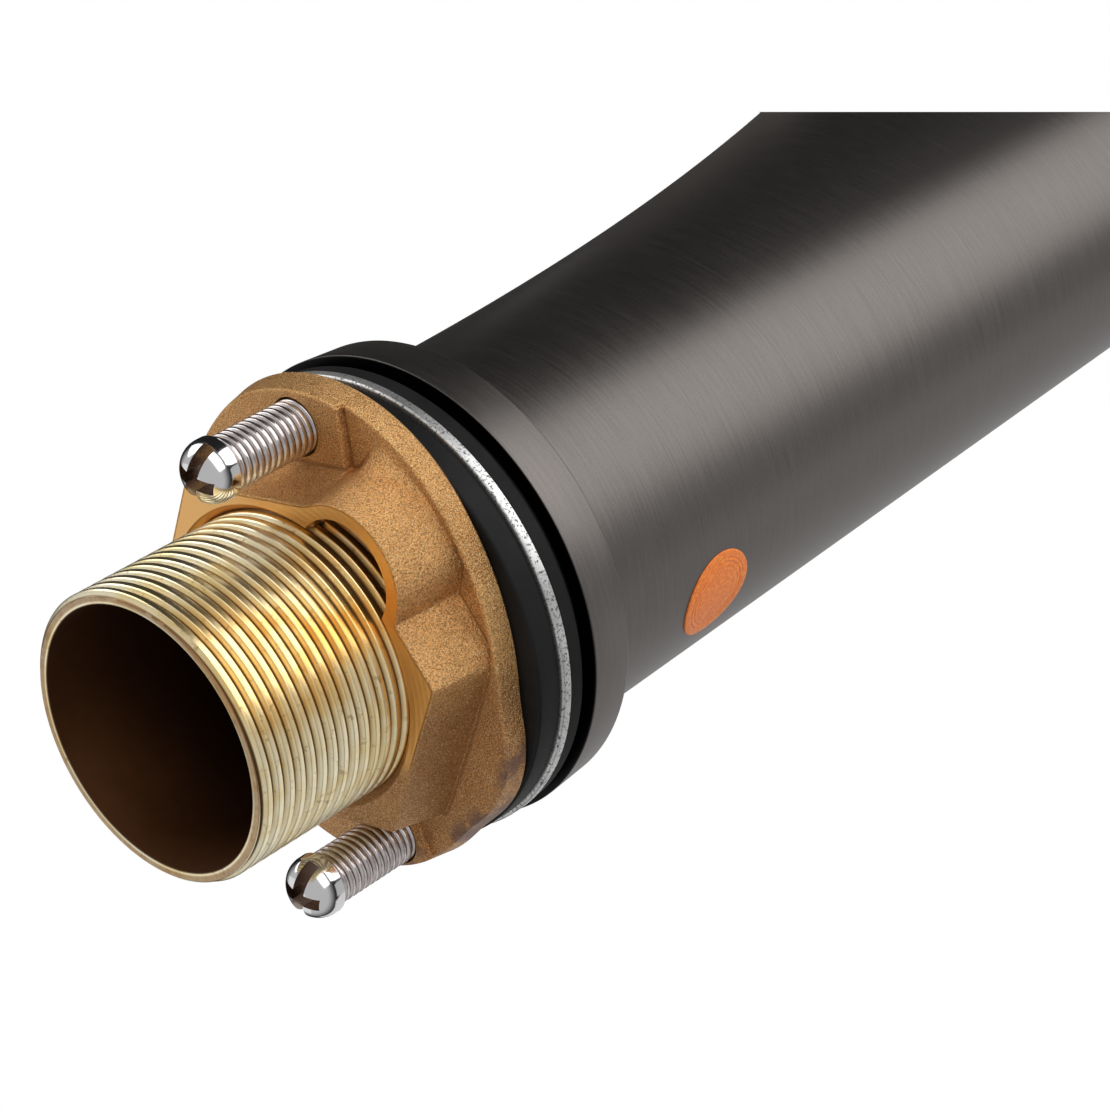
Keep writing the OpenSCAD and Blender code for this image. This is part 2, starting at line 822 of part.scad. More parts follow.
module ball_cap() {
    opening_r = 10.6;
    inside_r = dome_r - dome_wall;
    thread_r = clamp_r - 1.1 + run_gap;
    color(gunmetal)
        difference() {
            union() {
                difference() {
                    translate([0, 0, pivot_z])
                        sphere(r = dome_r);
                    translate([0, 0, pivot_z])
                        sphere(r = inside_r);
                }
                intersection() {
                    translate([0, 0, body_h])
                        tube(thread_r + 2, thread_r, 2.6);
                    translate([0, 0, pivot_z])
                        sphere(r = dome_r - 0.3);
                }
            }
            translate([0, 0, pivot_z - 2 * dome_r])
                cylinder(r = 2 * dome_r, h = 2 * dome_r + pivot_drop);
            at(0, 0, pivot_z, opening_r, 2 * dome_r);
        }
}

// Rounded bar of the lever, drawn along +Y before it is tipped and turned to the front
module lever_bar() {
    root_t = 3.4;
    tip_t = 2.2;
    start = 6;
    hull()
        for (side = [-1, 1]) {
            translate([side * (lever_w / 2 - root_t), start, 0])
                sphere(r = root_t, $fn = 32);
            translate([side * (lever_tip_w / 2 - tip_t), lever_l - tip_t, 0])
                sphere(r = tip_t, $fn = 32);
        }
}

module handle() {
    bowl_r = dome_r + shell_gap;
    edge = 1.6;
    skirt_front = body_h + 2.2;
    skirt_back = body_h + 8;
    cut_tilt = atan((skirt_back - skirt_front) / (2 * hub_r));
    cut_mid = (skirt_front + skirt_back) / 2;
    color(gunmetal)
        difference() {
            union() {
                translate([0, 0, body_h])
                    rotate_extrude()
                        polygon([[0, 0], [hub_r, 0], [hub_r, hub_top - edge],
                            [hub_r - 0.47 * edge, hub_top - 0.47 * edge],
                            [hub_r - edge, hub_top], [0, hub_top]]);
                translate([0, 0, hub_top_z - 5.2])
                    rotate([0, 0, 180])
                        rotate([lever_rise, 0, 0])
                            lever_bar();
            }
            translate([0, 0, cut_mid])
                rotate([cut_tilt, 0, 0])
                    translate([-2 * hub_r, -2 * hub_r, -4 * hub_r])
                        cube([4 * hub_r, 4 * hub_r, 4 * hub_r]);
            translate([0, 0, pivot_z])
                sphere(r = bowl_r);
            translate([-bar_w / 2 - run_gap, -bar_w / 2 - run_gap, pivot_z])
                cube([bar_w + 2 * run_gap, bar_w + 2 * run_gap, bar_top - pivot_z + run_gap]);
            translate([0, 0, grub_z])
                rotate([-90, 0, 0])
                    cylinder(r = grub_r + run_gap, h = hub_r + 1);
        }
}

module grub_screw() {
    key_r = 1.44;
    key_depth = 2.5;
    screw_l = 8;
    color(steel)
        translate([0, bar_w / 2, grub_z])
            rotate([-90, 0, 0])
                difference() {
                    cylinder(r = grub_r, h = screw_l);
                    translate([0, 0, screw_l - key_depth])
                        cylinder(r = key_r, h = key_depth + 1, $fn = 6);
                }
}

module handle_plug() {
    plug_l = 4.2;
    color(black)
        translate([0, hub_r - plug_l, grub_z])
            rotate([-90, 0, 0])
                cylinder(r = grub_r, h = plug_l);
}

module aerator_housing() {
    rim_r = aerator_rim_d / 2;
    lip = 1.2;
    color(gunmetal)
        difference() {
            union() {
                at(0, -reach, aerator_seat_z, aerator_r, aerator_l);
                translate([0, -reach, aerator_seat_z - aerator_rim_t])
                    cylinder(r1 = rim_r - 0.4, r2 = rim_r, h = aerator_rim_t);
            }
            at(0, -reach, aerator_seat_z - aerator_rim_t - 1, aerator_r - aerator_wall - lip, aerator_l + 4);
            at(0, -reach, aerator_seat_z, aerator_r - aerator_wall, aerator_l + 1);
        }
}

module aerator_insert() {
    insert_h = aerator_l - 1.6;
    hole_r = 1.1;
    color(white)
        difference() {
            at(0, -reach, insert_z, insert_r, insert_h);
            at(0, -reach, insert_z + insert_floor, insert_r - insert_wall, insert_h);
            for (ring = [[0, 1], [3.1, 6], [6.2, 12]])
                for (i = [0 : ring[1] - 1])
                    rotate_about_outlet(360 * i / ring[1])
                        at(ring[0], -reach, insert_z - 1, hole_r, insert_floor + 2);
        }
}

module rotate_about_outlet(a) {
    translate([0, -reach, 0])
        rotate([0, 0, a])
            translate([0, reach, 0])
                children();
}

module aerator_screen() {
    screen_r = insert_r - insert_wall - 0.1;
    screen_t = 0.8;
    hole_r = 0.8;
    color(steel)
        difference() {
            at(0, -reach, insert_z + insert_floor, screen_r, screen_t);
            for (ring = [[0, 1], [2.6, 6], [5.2, 12]])
                for (i = [0 : ring[1] - 1])
                    rotate_about_outlet(360 * i / ring[1])
                        at(ring[0], -reach, insert_z + insert_floor - 1, hole_r, screen_t + 2);
        }
}

module aerator_gasket() {
    color(black)
        translate([0, -reach, aerator_seat_z + aerator_l])
            tube(aerator_r - 0.1, aerator_r - 3, aerator_gasket_t);
}

module inspection_sticker() {
    color([0.93, 0.42, 0.12])
        difference() {
            intersection() {
                translate([0, 0, sticker_z])
                    rotate([-90, 0, 0])
                        cylinder(d = sticker_d, h = body_d);
                column(sticker_t);
            }
            column();
        }
}

body();
base_ring();
base_seal();
shank();
rubber_washer();
steel_washer();
spacer_ring();
flange_nut();
jack_screw_1();
jack_screw_2();
cartridge_foot();
port_seals();
disc_gasket();
fixed_disc();
cartridge_housing();
sliding_disc();
disc_carrier();
rotor();
pivot_pin();
stem();
retaining_nut();
ball_cap();
handle();
grub_screw();
handle_plug();
aerator_housing();
aerator_insert();
aerator_screen();
aerator_gasket();
inspection_sticker();
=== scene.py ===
# %% [markdown]
# # A basin mixer tap, seen from under the basin
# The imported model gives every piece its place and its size. This lesson dresses it: the pieces that
# catch the eye get finer surfaces worked out with numpy, and every piece gets a material that is
# built from nodes. The tap stands on its threaded foot, and the camera looks up at it.

# %% Load the fixed frame
import math
import bpy
import bmesh
import numpy as np
from mathutils import Matrix, Vector


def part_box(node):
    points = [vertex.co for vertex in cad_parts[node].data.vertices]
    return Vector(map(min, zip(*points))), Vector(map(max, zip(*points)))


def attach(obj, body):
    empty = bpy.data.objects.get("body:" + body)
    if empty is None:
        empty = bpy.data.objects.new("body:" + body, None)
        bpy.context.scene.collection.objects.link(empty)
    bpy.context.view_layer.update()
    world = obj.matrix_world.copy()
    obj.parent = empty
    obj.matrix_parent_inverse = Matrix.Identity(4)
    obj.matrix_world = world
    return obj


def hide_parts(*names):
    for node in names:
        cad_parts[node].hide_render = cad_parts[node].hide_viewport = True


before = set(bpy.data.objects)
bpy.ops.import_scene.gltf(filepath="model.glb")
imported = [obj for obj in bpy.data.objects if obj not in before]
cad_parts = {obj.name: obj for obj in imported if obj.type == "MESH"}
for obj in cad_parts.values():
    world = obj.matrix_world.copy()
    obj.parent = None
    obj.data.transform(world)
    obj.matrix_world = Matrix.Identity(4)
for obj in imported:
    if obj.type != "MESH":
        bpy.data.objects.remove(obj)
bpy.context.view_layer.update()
TAU = 2 * math.pi
MM = 0.001

# %% [markdown]
# ## Surfaces
# A surface here is a grid of points: one parameter runs round, the other runs along. Numpy works
# out all the points at once. A grid that closes on itself is joined at its seam, and a pole is
# one point, so that every piece is a closed skin. The pieces could be drawn by hand too, but a
# formula is exact, and one number changes it later.

# %% A mesh from a grid of points
def placed(name, data):
    """A new object with that data, in the scene."""
    made = bpy.data.objects.new(name, data)
    bpy.context.scene.collection.objects.link(made)
    return made


def make_piece(name, vertices, faces, body, replaced=(), sharp=40, marks=None):
    """A mesh object from points (mm) and faces: doubled points are merged, and faces look outwards."""
    mesh = bpy.data.meshes.new(name)
    faces = faces if isinstance(faces, list) else faces.tolist()
    mesh.from_pydata((np.asarray(vertices) * MM).tolist(), [], faces)
    for key, values in (marks or {}).items():
        layer = mesh.attributes.new(key, "FLOAT", "POINT")
        layer.data.foreach_set("value", np.asarray(values, np.float32).ravel())
    work = bmesh.new()
    work.from_mesh(mesh)
    bmesh.ops.remove_doubles(work, verts=work.verts, dist=2e-7)
    bmesh.ops.dissolve_degenerate(work, edges=work.edges, dist=1e-8)
    bmesh.ops.recalc_face_normals(work, faces=work.faces)
    work.to_mesh(mesh)
    work.free()
    mesh.polygons.foreach_set("use_smooth", [True] * len(mesh.polygons))
    mesh.set_sharp_from_angle(angle=math.radians(sharp))
    piece = placed(name, mesh)
    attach(piece, body)
    if replaced:
        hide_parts(*replaced)
    print(name, len(mesh.polygons), "faces")
    return piece


def grid_faces(rows, columns, close_rows=False, close_columns=True):
    """Quads of a grid of rows x columns points: each joins two neighbours and the two in the next row."""
    i = np.arange(rows if close_rows else rows - 1)
    j = np.arange(columns if close_columns else columns - 1)
    i, j = np.meshgrid(i, j, indexing="ij")
    k, m = (i + 1) % rows, (j + 1) % columns
    quads = [i * columns + j, i * columns + m, k * columns + m, k * columns + j]
    return np.stack(quads, -1).reshape(-1, 4)


def capped_tube(rings):
    """Rings of points joined along, and closed by a fan at each end."""
    count, steps = rings.shape[:2]
    vertices = np.vstack([rings.reshape(-1, 3), rings[0].mean(0), rings[-1].mean(0)])
    k, far, middle = np.arange(steps), (count - 1) * steps, count * steps
    faces = grid_faces(count, steps).tolist()
    faces += np.stack([0 * k + middle, (k + 1) % steps, k], 1).tolist()
    faces += np.stack([0 * k + middle + 1, far + k, far + (k + 1) % steps], 1).tolist()
    return vertices, faces


def circle(steps):
    """Angles round a full turn."""
    return np.linspace(0, TAU, steps, endpoint=False)


def polar(r, a, z):
    """Points at a radius, an angle and a height: x = r cos a, y = r sin a."""
    x = r * np.cos(a)
    return np.stack([x, r * np.sin(a), z + 0 * x], -1).reshape(-1, 3)


def turned(profile, steps, centre=(0, 0), close=True):
    """Profile (radius, height) turned round the upright axis, which may be moved to a centre."""
    profile = np.asarray(profile, float)
    points = polar(profile[:, :1], circle(steps), profile[:, 1:]) + np.array([*centre, 0])
    return points, grid_faces(len(profile), steps, close)


def band(inner, outer, low, high):
    """Rectangular profile between two radii and two heights."""
    return [(inner, low), (outer, low), (outer, high), (inner, high)]


def softened(corners, radius, steps=4):
    """Polygon with round corners: each corner becomes an arc tangent to its two sides."""
    corners = np.asarray(corners, float)
    out = []
    for k, (p, r) in enumerate(zip(corners, radius)):
        if r <= 0:
            out.append(p[None])
            continue
        a, b = corners[k - 1] - p, corners[(k + 1) % len(corners)] - p
        a, b = a / np.linalg.norm(a), b / np.linalg.norm(b)
        half = math.acos(float(np.clip(a @ b, -1, 1))) / 2
        reach = r / math.tan(half)
        heart = p + (a + b) / np.linalg.norm(a + b) * r / math.sin(half)
        start, end = p + a * reach - heart, p + b * reach - heart
        t = np.linspace(0, 1, steps + 1)[:, None]
        arc = start * (1 - t) + end * t
        out.append(heart + arc / np.linalg.norm(arc, axis=1, keepdims=True) * r)
    return np.vstack(out)


def smooth_step(low, high, value):
    """0 below low, 1 above high and a soft S between them: 3t^2 - 2t^3."""
    t = np.clip((value - low) / (high - low), 0, 1)
    return t * t * (3 - 2 * t)


def hump(low, start, end, high, value):
    """1 from start to end and 0 outside low and high: one step times (1 - the other)."""
    return smooth_step(low, start, value) * (1 - smooth_step(end, high, value))


# %% [markdown]
# ## Shader sums
# Node trees are easier to read as sums. `Term` holds one output socket, and adding or multiplying
# terms adds the Math node that does it. `Nodes` is a tree with the one method that adds any node,
# and `Paint` is the tree of one material. Nodes can also be linked one by one, but a sum shows at
# a glance what a pattern does.

# %% The helpers for materials
class Term:
    """An output socket that takes part in Python sums."""

    def __init__(self, nodes, socket):
        self.nodes, self.socket = nodes, socket

    def math(self, operation, *others):
        return self.nodes.node("ShaderNodeMath", dict(enumerate((self, *others))), operation=operation)

    def __add__(self, other):
        return self.math("ADD", other)

    def __sub__(self, other):
        return self.math("SUBTRACT", other)

    def __rsub__(self, other):
        return self * -1 + other

    def __mul__(self, other):
        return self.math("MULTIPLY", other)

    def __pow__(self, other):
        return self.math("POWER", other)

    __radd__, __rmul__ = __add__, __mul__

    def between(self, low, high, start=0.0, end=1.0):
        """A soft S from start to end while the value goes from low to high."""
        links = {"Value": self, "From Min": low, "From Max": high, "To Min": start, "To Max": end}
        return self.nodes.node("ShaderNodeMapRange", links, interpolation_type="SMOOTHSTEP")


class Nodes:
    """A node tree, emptied first."""

    def __init__(self, tree):
        self.tree = tree
        tree.nodes.clear()

    def node(self, kind, links=None, out=0, **settings):
        """Any node: its settings first, then the values or links of its sockets."""
        made = self.tree.nodes.new(kind)
        for key, value in settings.items():
            setattr(made, key, value)
        for key, value in (links or {}).items():
            if isinstance(value, Term):
                self.tree.links.new(value.socket, made.inputs[key])
            else:
                made.inputs[key].default_value = value
        return Term(self, made.outputs[out]) if len(made.outputs) else made


class Paint(Nodes):
    """One material: its node tree, its shader and its coordinates."""

    def __init__(self, name, **constants):
        self.material = bpy.data.materials.new(name)
        self.material.use_nodes = True
        super().__init__(self.material.node_tree)
        self.look = self.node("ShaderNodeBsdfPrincipled")
        self.end = self.node("ShaderNodeOutputMaterial", {0: self.look})
        self.point = self.node("ShaderNodeTexCoord", out="Object")
        self.feed(**constants)
        print("finish", name)

    def feed(self, **values):
        """Sets or links sockets of the shader; an underscore in a name stands for a blank."""
        for key, value in values.items():
            socket = self.look.socket.node.inputs[key.replace("_", " ")]
            if isinstance(value, Term):
                self.tree.links.new(value.socket, socket)
            else:
                socket.default_value = (*value, 1) if isinstance(value, tuple) else value

    def stretched(self, scale):
        """The point, scaled apart along x, y and z: a noise on it becomes streaks."""
        return self.node("ShaderNodeMapping", {"Vector": self.point, "Scale": scale})

    def axes(self):
        split = self.node("ShaderNodeSeparateXYZ", {0: self.point})
        return [Term(self, socket) for socket in split.socket.node.outputs]

    def noise(self, scale, detail=3.0, rough=0.55, where=None):
        """Soft chance from 0 to 1, with that many lumps to the metre."""
        links = {"Vector": where or self.point, "Scale": scale, "Detail": detail, "Roughness": rough}
        return self.node("ShaderNodeTexNoise", links)

    def blend(self, share, first, second):
        """Colour between two colours, by a share from 0 to 1."""
        first, second = (c if isinstance(c, Term) else (*c, 1) for c in (first, second))
        return self.node("ShaderNodeMix", {0: share, 6: first, 7: second}, out=2, data_type="RGBA")

    def bump(self, height, distance, strength=1.0):
        """Tips the shading by a height; the distance is its depth in metres."""
        links = {"Height": height, "Distance": distance, "Strength": strength}
        self.feed(Normal=self.node("ShaderNodeBump", links))

    def mark(self, name):
        return self.node("ShaderNodeAttribute", attribute_name=name, out="Fac")


def wear(piece, paint):
    """Gives a piece one material."""
    piece.data.materials.clear()
    piece.data.materials.append(paint.material)


# %% [markdown]
# ## Finishes
# Each finish is one function that returns a `Paint`. Gunmetal is a dark metal layer brushed round
# the axis: a noise squeezed along z is long round the axis and short along it. The lever is
# brushed along its length. The ring's underside has no layer, so it is black. The shader's own
# anisotropy could smear the light as well, but only real streaks show from close by.

# %% Brushed gunmetal
BRUSHED_ROUND, BRUSHED_ALONG = (160, 160, 8000), (6000, 120, 120)
GUN_DARK, GUN_LIGHT, SOOT = (0.118, 0.107, 0.100), (0.152, 0.139, 0.131), (0.004, 0.004, 0.004)


def brushed_gunmetal(name, along=BRUSHED_ROUND, tone=1.0, under_black=0.0):
    """Streaks between two dark tones; under_black blackens what lies below 1.2 mm."""
    paint = Paint(name, Metallic=1.0)
    fine = paint.noise(1.0, 2.0, 0.6, paint.stretched(along))
    dust = paint.noise(5200.0, 2.0, 0.7)
    haze = paint.noise(38.0, 2.0)
    streak = fine * 0.6 + dust * 0.4
    dark, light = (tuple(part * tone for part in colour) for colour in (GUN_DARK, GUN_LIGHT))
    metal = paint.blend(streak.between(0.35, 0.65), dark, light)
    under = paint.axes()[2].between(0.00122, 0.00135, 1.0, 0.0) * under_black
    paint.feed(Base_Color=paint.blend(under, metal, SOOT))
    paint.feed(Roughness=streak.between(0.35, 0.65, 0.37, 0.42) + haze * 0.03)
    paint.bump(streak, 0.000006, 0.5)
    return paint


gunmetal = brushed_gunmetal("brushed_gunmetal")
gunmetal_ring = brushed_gunmetal("brushed_gunmetal_ring", tone=1.08, under_black=1.0)
gunmetal_lever = brushed_gunmetal("brushed_gunmetal_lever", BRUSHED_ALONG)


# %% [markdown]
# The nut is sand cast, so its skin is a sparkling grain, while its lower face is turned smooth.
# The mesh's marks say where. The colour goes on in layers: patches, grain, pale specks and
# tarnish, with painted shade, darker brown over the side away from the key light and in the creases
# and on the first pad's side wall, and the turned face on top. A photograph of bronze could be laid
# on instead, but noises have no seam and stay sharp at any distance.

# %% Cast bronze with a turned face
def cast_bronze():
    paint = Paint("cast_bronze", Metallic=1.0)
    x, y, _ = paint.axes()
    grain = paint.noise(5200.0, 3.0, 0.75)
    lumps = paint.noise(1700.0, 3.0, 0.6)
    sparkle = paint.noise(11000.0, 1.0, 0.5)
    patch = paint.noise(130.0, 4.0, 0.6)
    stain = paint.noise(210.0, 4.0, 0.65)
    face = paint.mark("turned")
    colour = paint.blend(patch.between(0.3, 0.7), (0.62, 0.295, 0.088), (0.86, 0.455, 0.16))
    layers = [
        # Painted shade: darker brown over one side of the nut, away from the key light.
        (paint.mark("side_shade") * 0.7, (0.42, 0.175, 0.060)),
        (grain.between(0.40, 0.56, 0.8, 0.0), (0.22, 0.09, 0.025)),
        (sparkle.between(0.52, 0.66, 0.0, 0.8), (1.0, 0.76, 0.42)),
        (paint.mark("tarnish") * stain.between(0.42, 0.58) * 0.8, (0.16, 0.095, 0.085)),
        # Painted shade: dark brown in the creases and on the first pad's side wall.
        (paint.mark("recess_shade") * 0.75, (0.20, 0.07, 0.018)),
        (face, (0.76, 0.43, 0.155)),
    ]
    for share, layer in layers:
        colour = paint.blend(share, colour, layer)
    rings = paint.node("ShaderNodeMath", {0: (x * x + y * y) ** 0.5 * 9000.0}, operation="SINE")
    cast_rough, turned_rough = 0.32 + sparkle * 0.12, 0.30 + patch * 0.1
    paint.feed(Base_Color=colour, Roughness=cast_rough * (1 - face) + turned_rough * face)
    height = (grain * 0.6 + lumps * 0.4) * (1 - face * 0.93) + rings * face * 0.02
    paint.bump(height, 0.00028, 1.0)
    return paint


bronze = cast_bronze()


# %% [markdown]
# The shank's brass is paler than the bronze, with one golden stripe of painted reflection where
# the key light falls, painted shade in the roots of its thread and a dark brown bore. The screws
# are chromed, with bright heads and duller threads, and painted shade in their roots too. The
# steel washer is speckled. The shading could find the roots by their curvature, but the mark
# "groove", which the mesh carries, is exact.

# %% Thread brass, chrome, steel
def thread_brass():
    paint = Paint("thread_brass", Metallic=1.0)
    x, y, z = paint.axes()
    reach = (x * x + y * y) ** 0.5
    groove = paint.mark("groove")
    spot = paint.noise(900.0, 4.0, 0.7)
    blotch = paint.noise(150.0, 3.0, 0.6)
    pale = paint.blend(blotch.between(0.38, 0.62), (0.92, 0.76, 0.42), (1.0, 0.91, 0.66))
    reflected_gold = paint.blend(blotch.between(0.40, 0.60), (0.86, 0.50, 0.14), (0.95, 0.70, 0.31))
    # Painted reflection: golden on the side where the key light falls, pale elsewhere.
    bright = paint.blend(paint.mark("key_reflection"), pale, reflected_gold)
    bright = paint.blend(spot.between(0.57, 0.70, 0.0, 0.6), bright, (0.42, 0.25, 0.08))
    # Painted shade: the thread's roots are darkened by how deep they lie.
    shaded_roots = paint.blend(groove.between(0.62, 0.95), bright, (0.10, 0.052, 0.018))
    # Dark brown inside the bore.
    dark_bore = paint.blend(blotch, (0.045, 0.016, 0.006), (0.085, 0.035, 0.014))
    inside = reach.between(0.01455, 0.01475, 1.0, 0.0)
    sawn = reach.between(0.0147, 0.0150) * z.between(-0.03592, -0.03582, 1.0, 0.0)
    colour = paint.blend(inside, shaded_roots, dark_bore)
    colour = paint.blend(sawn * (0.6 + spot * 0.4), colour, (0.27, 0.14, 0.06))
    paint.feed(Base_Color=colour, Roughness=0.25 + groove * 0.15 + inside * 0.35 + spot * 0.08)
    paint.bump(spot * 0.6 + paint.noise(3000.0, 2.0) * 0.4, 0.00003, 0.5)
    return paint


def bright_chrome(name="bright_chrome", head=(0.78, 0.77, 0.78), head_rough=0.10):
    """Chrome: mirror bright on the head, and duller, a little pink and oily on the thread above it."""
    paint = Paint(name, Metallic=1.0)
    groove = paint.mark("groove")
    haze = paint.noise(700.0, 3.0, 0.6)
    thread = paint.axes()[2].between(-0.0209, -0.0205)
    worn = paint.blend(haze.between(0.35, 0.65), (0.52, 0.46, 0.45), (0.68, 0.63, 0.62))
    colour = paint.blend(thread, head, worn)
    # Painted shade: the thread's roots are darkened.
    colour = paint.blend(groove.between(0.70, 0.98), colour, (0.10, 0.08, 0.07))
    paint.feed(Base_Color=colour, Roughness=haze * 0.05 + thread * 0.14 + head_rough)
    paint.bump(haze, 0.00002, 0.25)
    return paint


def plated_steel():
    paint = Paint("plated_steel", Metallic=1.0)
    speck = paint.noise(3300.0, 3.0, 0.7)
    drift = paint.noise(160.0, 3.0, 0.6)
    streak = paint.noise(1.0, 3.0, 0.6, paint.stretched((60, 60, 4000)))
    clean = paint.blend(drift.between(0.3, 0.7), (0.512, 0.512, 0.5056), (0.7168, 0.7168, 0.704))
    dirty = speck.between(0.53, 0.62, 0.0, 0.8)
    paint.feed(Base_Color=paint.blend(dirty, clean, (0.05, 0.045, 0.04)))
    paint.feed(Roughness=0.40 + streak * 0.12 + dirty * 0.25)
    paint.bump(streak * 0.5 + speck * 0.5, 0.00004, 0.6)
    return paint


brass, chrome, steel = thread_brass(), bright_chrome(), plated_steel()
# The slots' copy of the chrome is dark brown: painted shade inside the slots.
shaded_slot_chrome = bright_chrome("shaded_slot_chrome", (0.36, 0.29, 0.25), 0.22)


# %% [markdown]
# Moulded pieces differ only in their numbers, so one function makes them all: rubber swallows
# light, plastic is smoother, and the lapped ceramic discs are almost polished.

# %% Rubber, plastics, ceramic
def moulded(name, low, high, rough, grain=2400.0, depth=0.00003, specular=0.5):
    """A moulded or pressed skin: two near colours in slow patches, and a fine grain in the bump."""
    paint = Paint(name, Specular_IOR_Level=specular)
    patch, fine = paint.noise(120.0, 4.0, 0.6), paint.noise(grain, 3.0, 0.6)
    colour = paint.blend(patch.between(0.3, 0.7), low, high)
    paint.feed(Base_Color=colour, Roughness=rough + fine * 0.12)
    paint.bump(fine, depth, 0.6)
    return paint


rubber = moulded("black_rubber", SOOT, (0.010, 0.009, 0.009), 0.6, 1800.0, 0.00005, 0.18)
black_plastic = moulded("black_plastic", SOOT, (0.009, 0.008, 0.008), 0.5, 2200.0, 0.00003, 0.16)
white_plastic = moulded("white_plastic", (0.78, 0.78, 0.75), (0.86, 0.86, 0.83), 0.36)
ceramic = moulded("lapped_ceramic", (0.86, 0.84, 0.79), (0.93, 0.91, 0.87), 0.16, 4000.0, 0.000008)


# %% [markdown]
# The sticker is orange foil with embossed rings. The mesh has the coarse ones, and the bump adds
# finer ones, too fine to model: a sine of the distance from the middle makes them, and two soft
# steps keep them within their band.

# %% Orange foil of the sticker
STICKER_R, STICKER_Z = 5.3, 27.2


def orange_foil():
    paint = Paint("orange_foil", Specular_IOR_Level=0.4)
    x, _, z = paint.axes()
    rise = z - STICKER_Z * MM
    reach = (x * x + rise * rise) ** 0.5
    rings = paint.node("ShaderNodeMath", {0: reach * 14000.0}, operation="SINE")
    ribbed = reach.between(0.0030, 0.0033) * reach.between(0.0045, 0.0048, 1.0, 0.0)
    dots = paint.noise(2600.0, 2.0)
    colour = paint.blend(dots.between(0.4, 0.65), (0.76, 0.17, 0.018), (0.90, 0.26, 0.035))
    paint.feed(Base_Color=colour, Roughness=0.42 + dots * 0.1)
    paint.bump(rings * ribbed * 0.5 + dots * 0.5, 0.00003, 0.8)
    return paint


foil = orange_foil()

# %% [markdown]
# ## The body and its spout
# The body is a drawn-out casting: a round foot whose front leans forward and swings into the
# spout. It is a row of closed sections. Every section has a point under the spout, a centre, a
# point on top, a half width and a power, and a rounded outline through them. One outline swept
# along a bent line would be shorter to write, but then the front and the back couldn't follow
# curves of their own.

# %% Sections of the body
BODY_R, RING_TOP, BODY_H = 22.0, 7.0, 160.0
FLARE_H, FRONT_R, TURN_R, REACH = 93.3, 490.0, 25.1, 106.0
LEAN, TAPER = math.tan(math.radians(1.95)), math.tan(math.radians(1.9))
TIP_HALF, TIP_H, SOCKET_Z, TURN_TOP = 15.2, 15.5, 86.0, BODY_H - 22
SEAT_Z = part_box("aerator_housing")[0].z / MM + 1.5
FRONT_ANGLE = math.atan(LEAN + FLARE_H / FRONT_R)
FLARE_Z, FLARE_Y = RING_TOP + FLARE_H, BODY_R + LEAN * FLARE_H + FLARE_H ** 2 / (2 * FRONT_R)
UNDER_Z = FLARE_Z + TURN_R * (1 - math.sin(FRONT_ANGLE))
TIP_Z = UNDER_Z - 2.1
UNDER_Y = FLARE_Y + TURN_R * math.cos(FRONT_ANGLE)


def back_r(z):
    """Radius of the body's back: it shrinks evenly with the height above the base ring."""
    return BODY_R - TAPER * (z - RING_TOP)


def mixed(a, b, t):
    """Points on the line from a to b, where t runs from 0 to 1."""
    return a + (b - a) * t[:, None]


def joined(under, top, share, wide, power):
    """Sections from their under and top points: the centre lies at a share of the way up."""
    heart = under + (top - under) * share[:, None]
    return np.concatenate([under, heart, top, wide[:, None], power[:, None]], 1)


def column_rows(t):
    """Level sections: front = foot radius + lean h + h^2 / (2 front radius), back on the even taper."""
    h = FLARE_H * t
    z, zero = RING_TOP + h, np.zeros_like(h)
    front = BODY_R + LEAN * h + h * h / (2 * FRONT_R)
    back = back_r(z)
    return np.stack([-front, z, zero, z, back, z, back, zero + 2], 1)


def turn_rows(t):
    """Sections that tip forward: the under point follows a quarter circle into the spout."""
    a = FRONT_ANGLE + (math.pi / 2 - FRONT_ANGLE) * t
    uy = -FLARE_Y - TURN_R * (math.cos(FRONT_ANGLE) - np.cos(a))
    uz = FLARE_Z + TURN_R * (np.sin(a) - math.sin(FRONT_ANGLE))
    cz = FLARE_Z + (TURN_TOP - FLARE_Z) * t
    slope = (cz - uz) / (0 - uy)
    wide = back_r(cz)
    back = wide / (1 + TAPER * slope)
    return np.stack([uy, uz, 0 * t, cz, back, cz + slope * back, wide, 0 * t + 2], 1)


turn_end = turn_rows(np.array([1.0]))[0]
TURN_UNDER, TURN_HEART, TURN_BACK, TURN_WIDE = turn_end[:2], turn_end[2:4], turn_end[4:6], turn_end[6]
SWING_UNDER, SWING_TOP = np.array([-UNDER_Y - 9, UNDER_Z]), np.array([-34, BODY_H - 13])
PULL_BACK, PULL_FRONT = np.array([14, BODY_H - 4]), np.array([-12, BODY_H - 5])
START_SHARE = np.linalg.norm(TURN_HEART - TURN_UNDER) / np.linalg.norm(TURN_BACK - TURN_UNDER)
SPOUT_SHARE, SPOUT_EXTRA, SPOUT_BOW = 0.55, 1.8, 1.2


def swing_rows(t):
    """The top line leaves the back on a cubic curve and comes forward over the spout."""
    u, s = t[:, None], 1 - t[:, None]
    top = s ** 3 * TURN_BACK + 3 * u * s ** 2 * PULL_BACK
    top = top + 3 * u * u * s * PULL_FRONT + u ** 3 * SWING_TOP
    share = START_SHARE + (SPOUT_SHARE - START_SHARE) * t
    wide = TURN_WIDE + (TIP_HALF + SPOUT_EXTRA - TURN_WIDE) * t
    return joined(mixed(TURN_UNDER, SWING_UNDER, t), top, share, wide, 2 + 0.3 * t)


def spout_rows(t):
    """Straight underside, gently bowed top, narrowing to the outlet."""
    under = mixed(SWING_UNDER, np.array([-REACH, TIP_Z]), t)
    top = mixed(SWING_TOP, np.array([-REACH, TIP_Z + TIP_H]), t)
    top[:, 1] += SPOUT_BOW * np.sin(math.pi * t)
    wide = TIP_HALF + SPOUT_EXTRA * (1 - t)
    return joined(under, top, SPOUT_SHARE - 0.05 * t, wide, 2.3 + 0.5 * t)


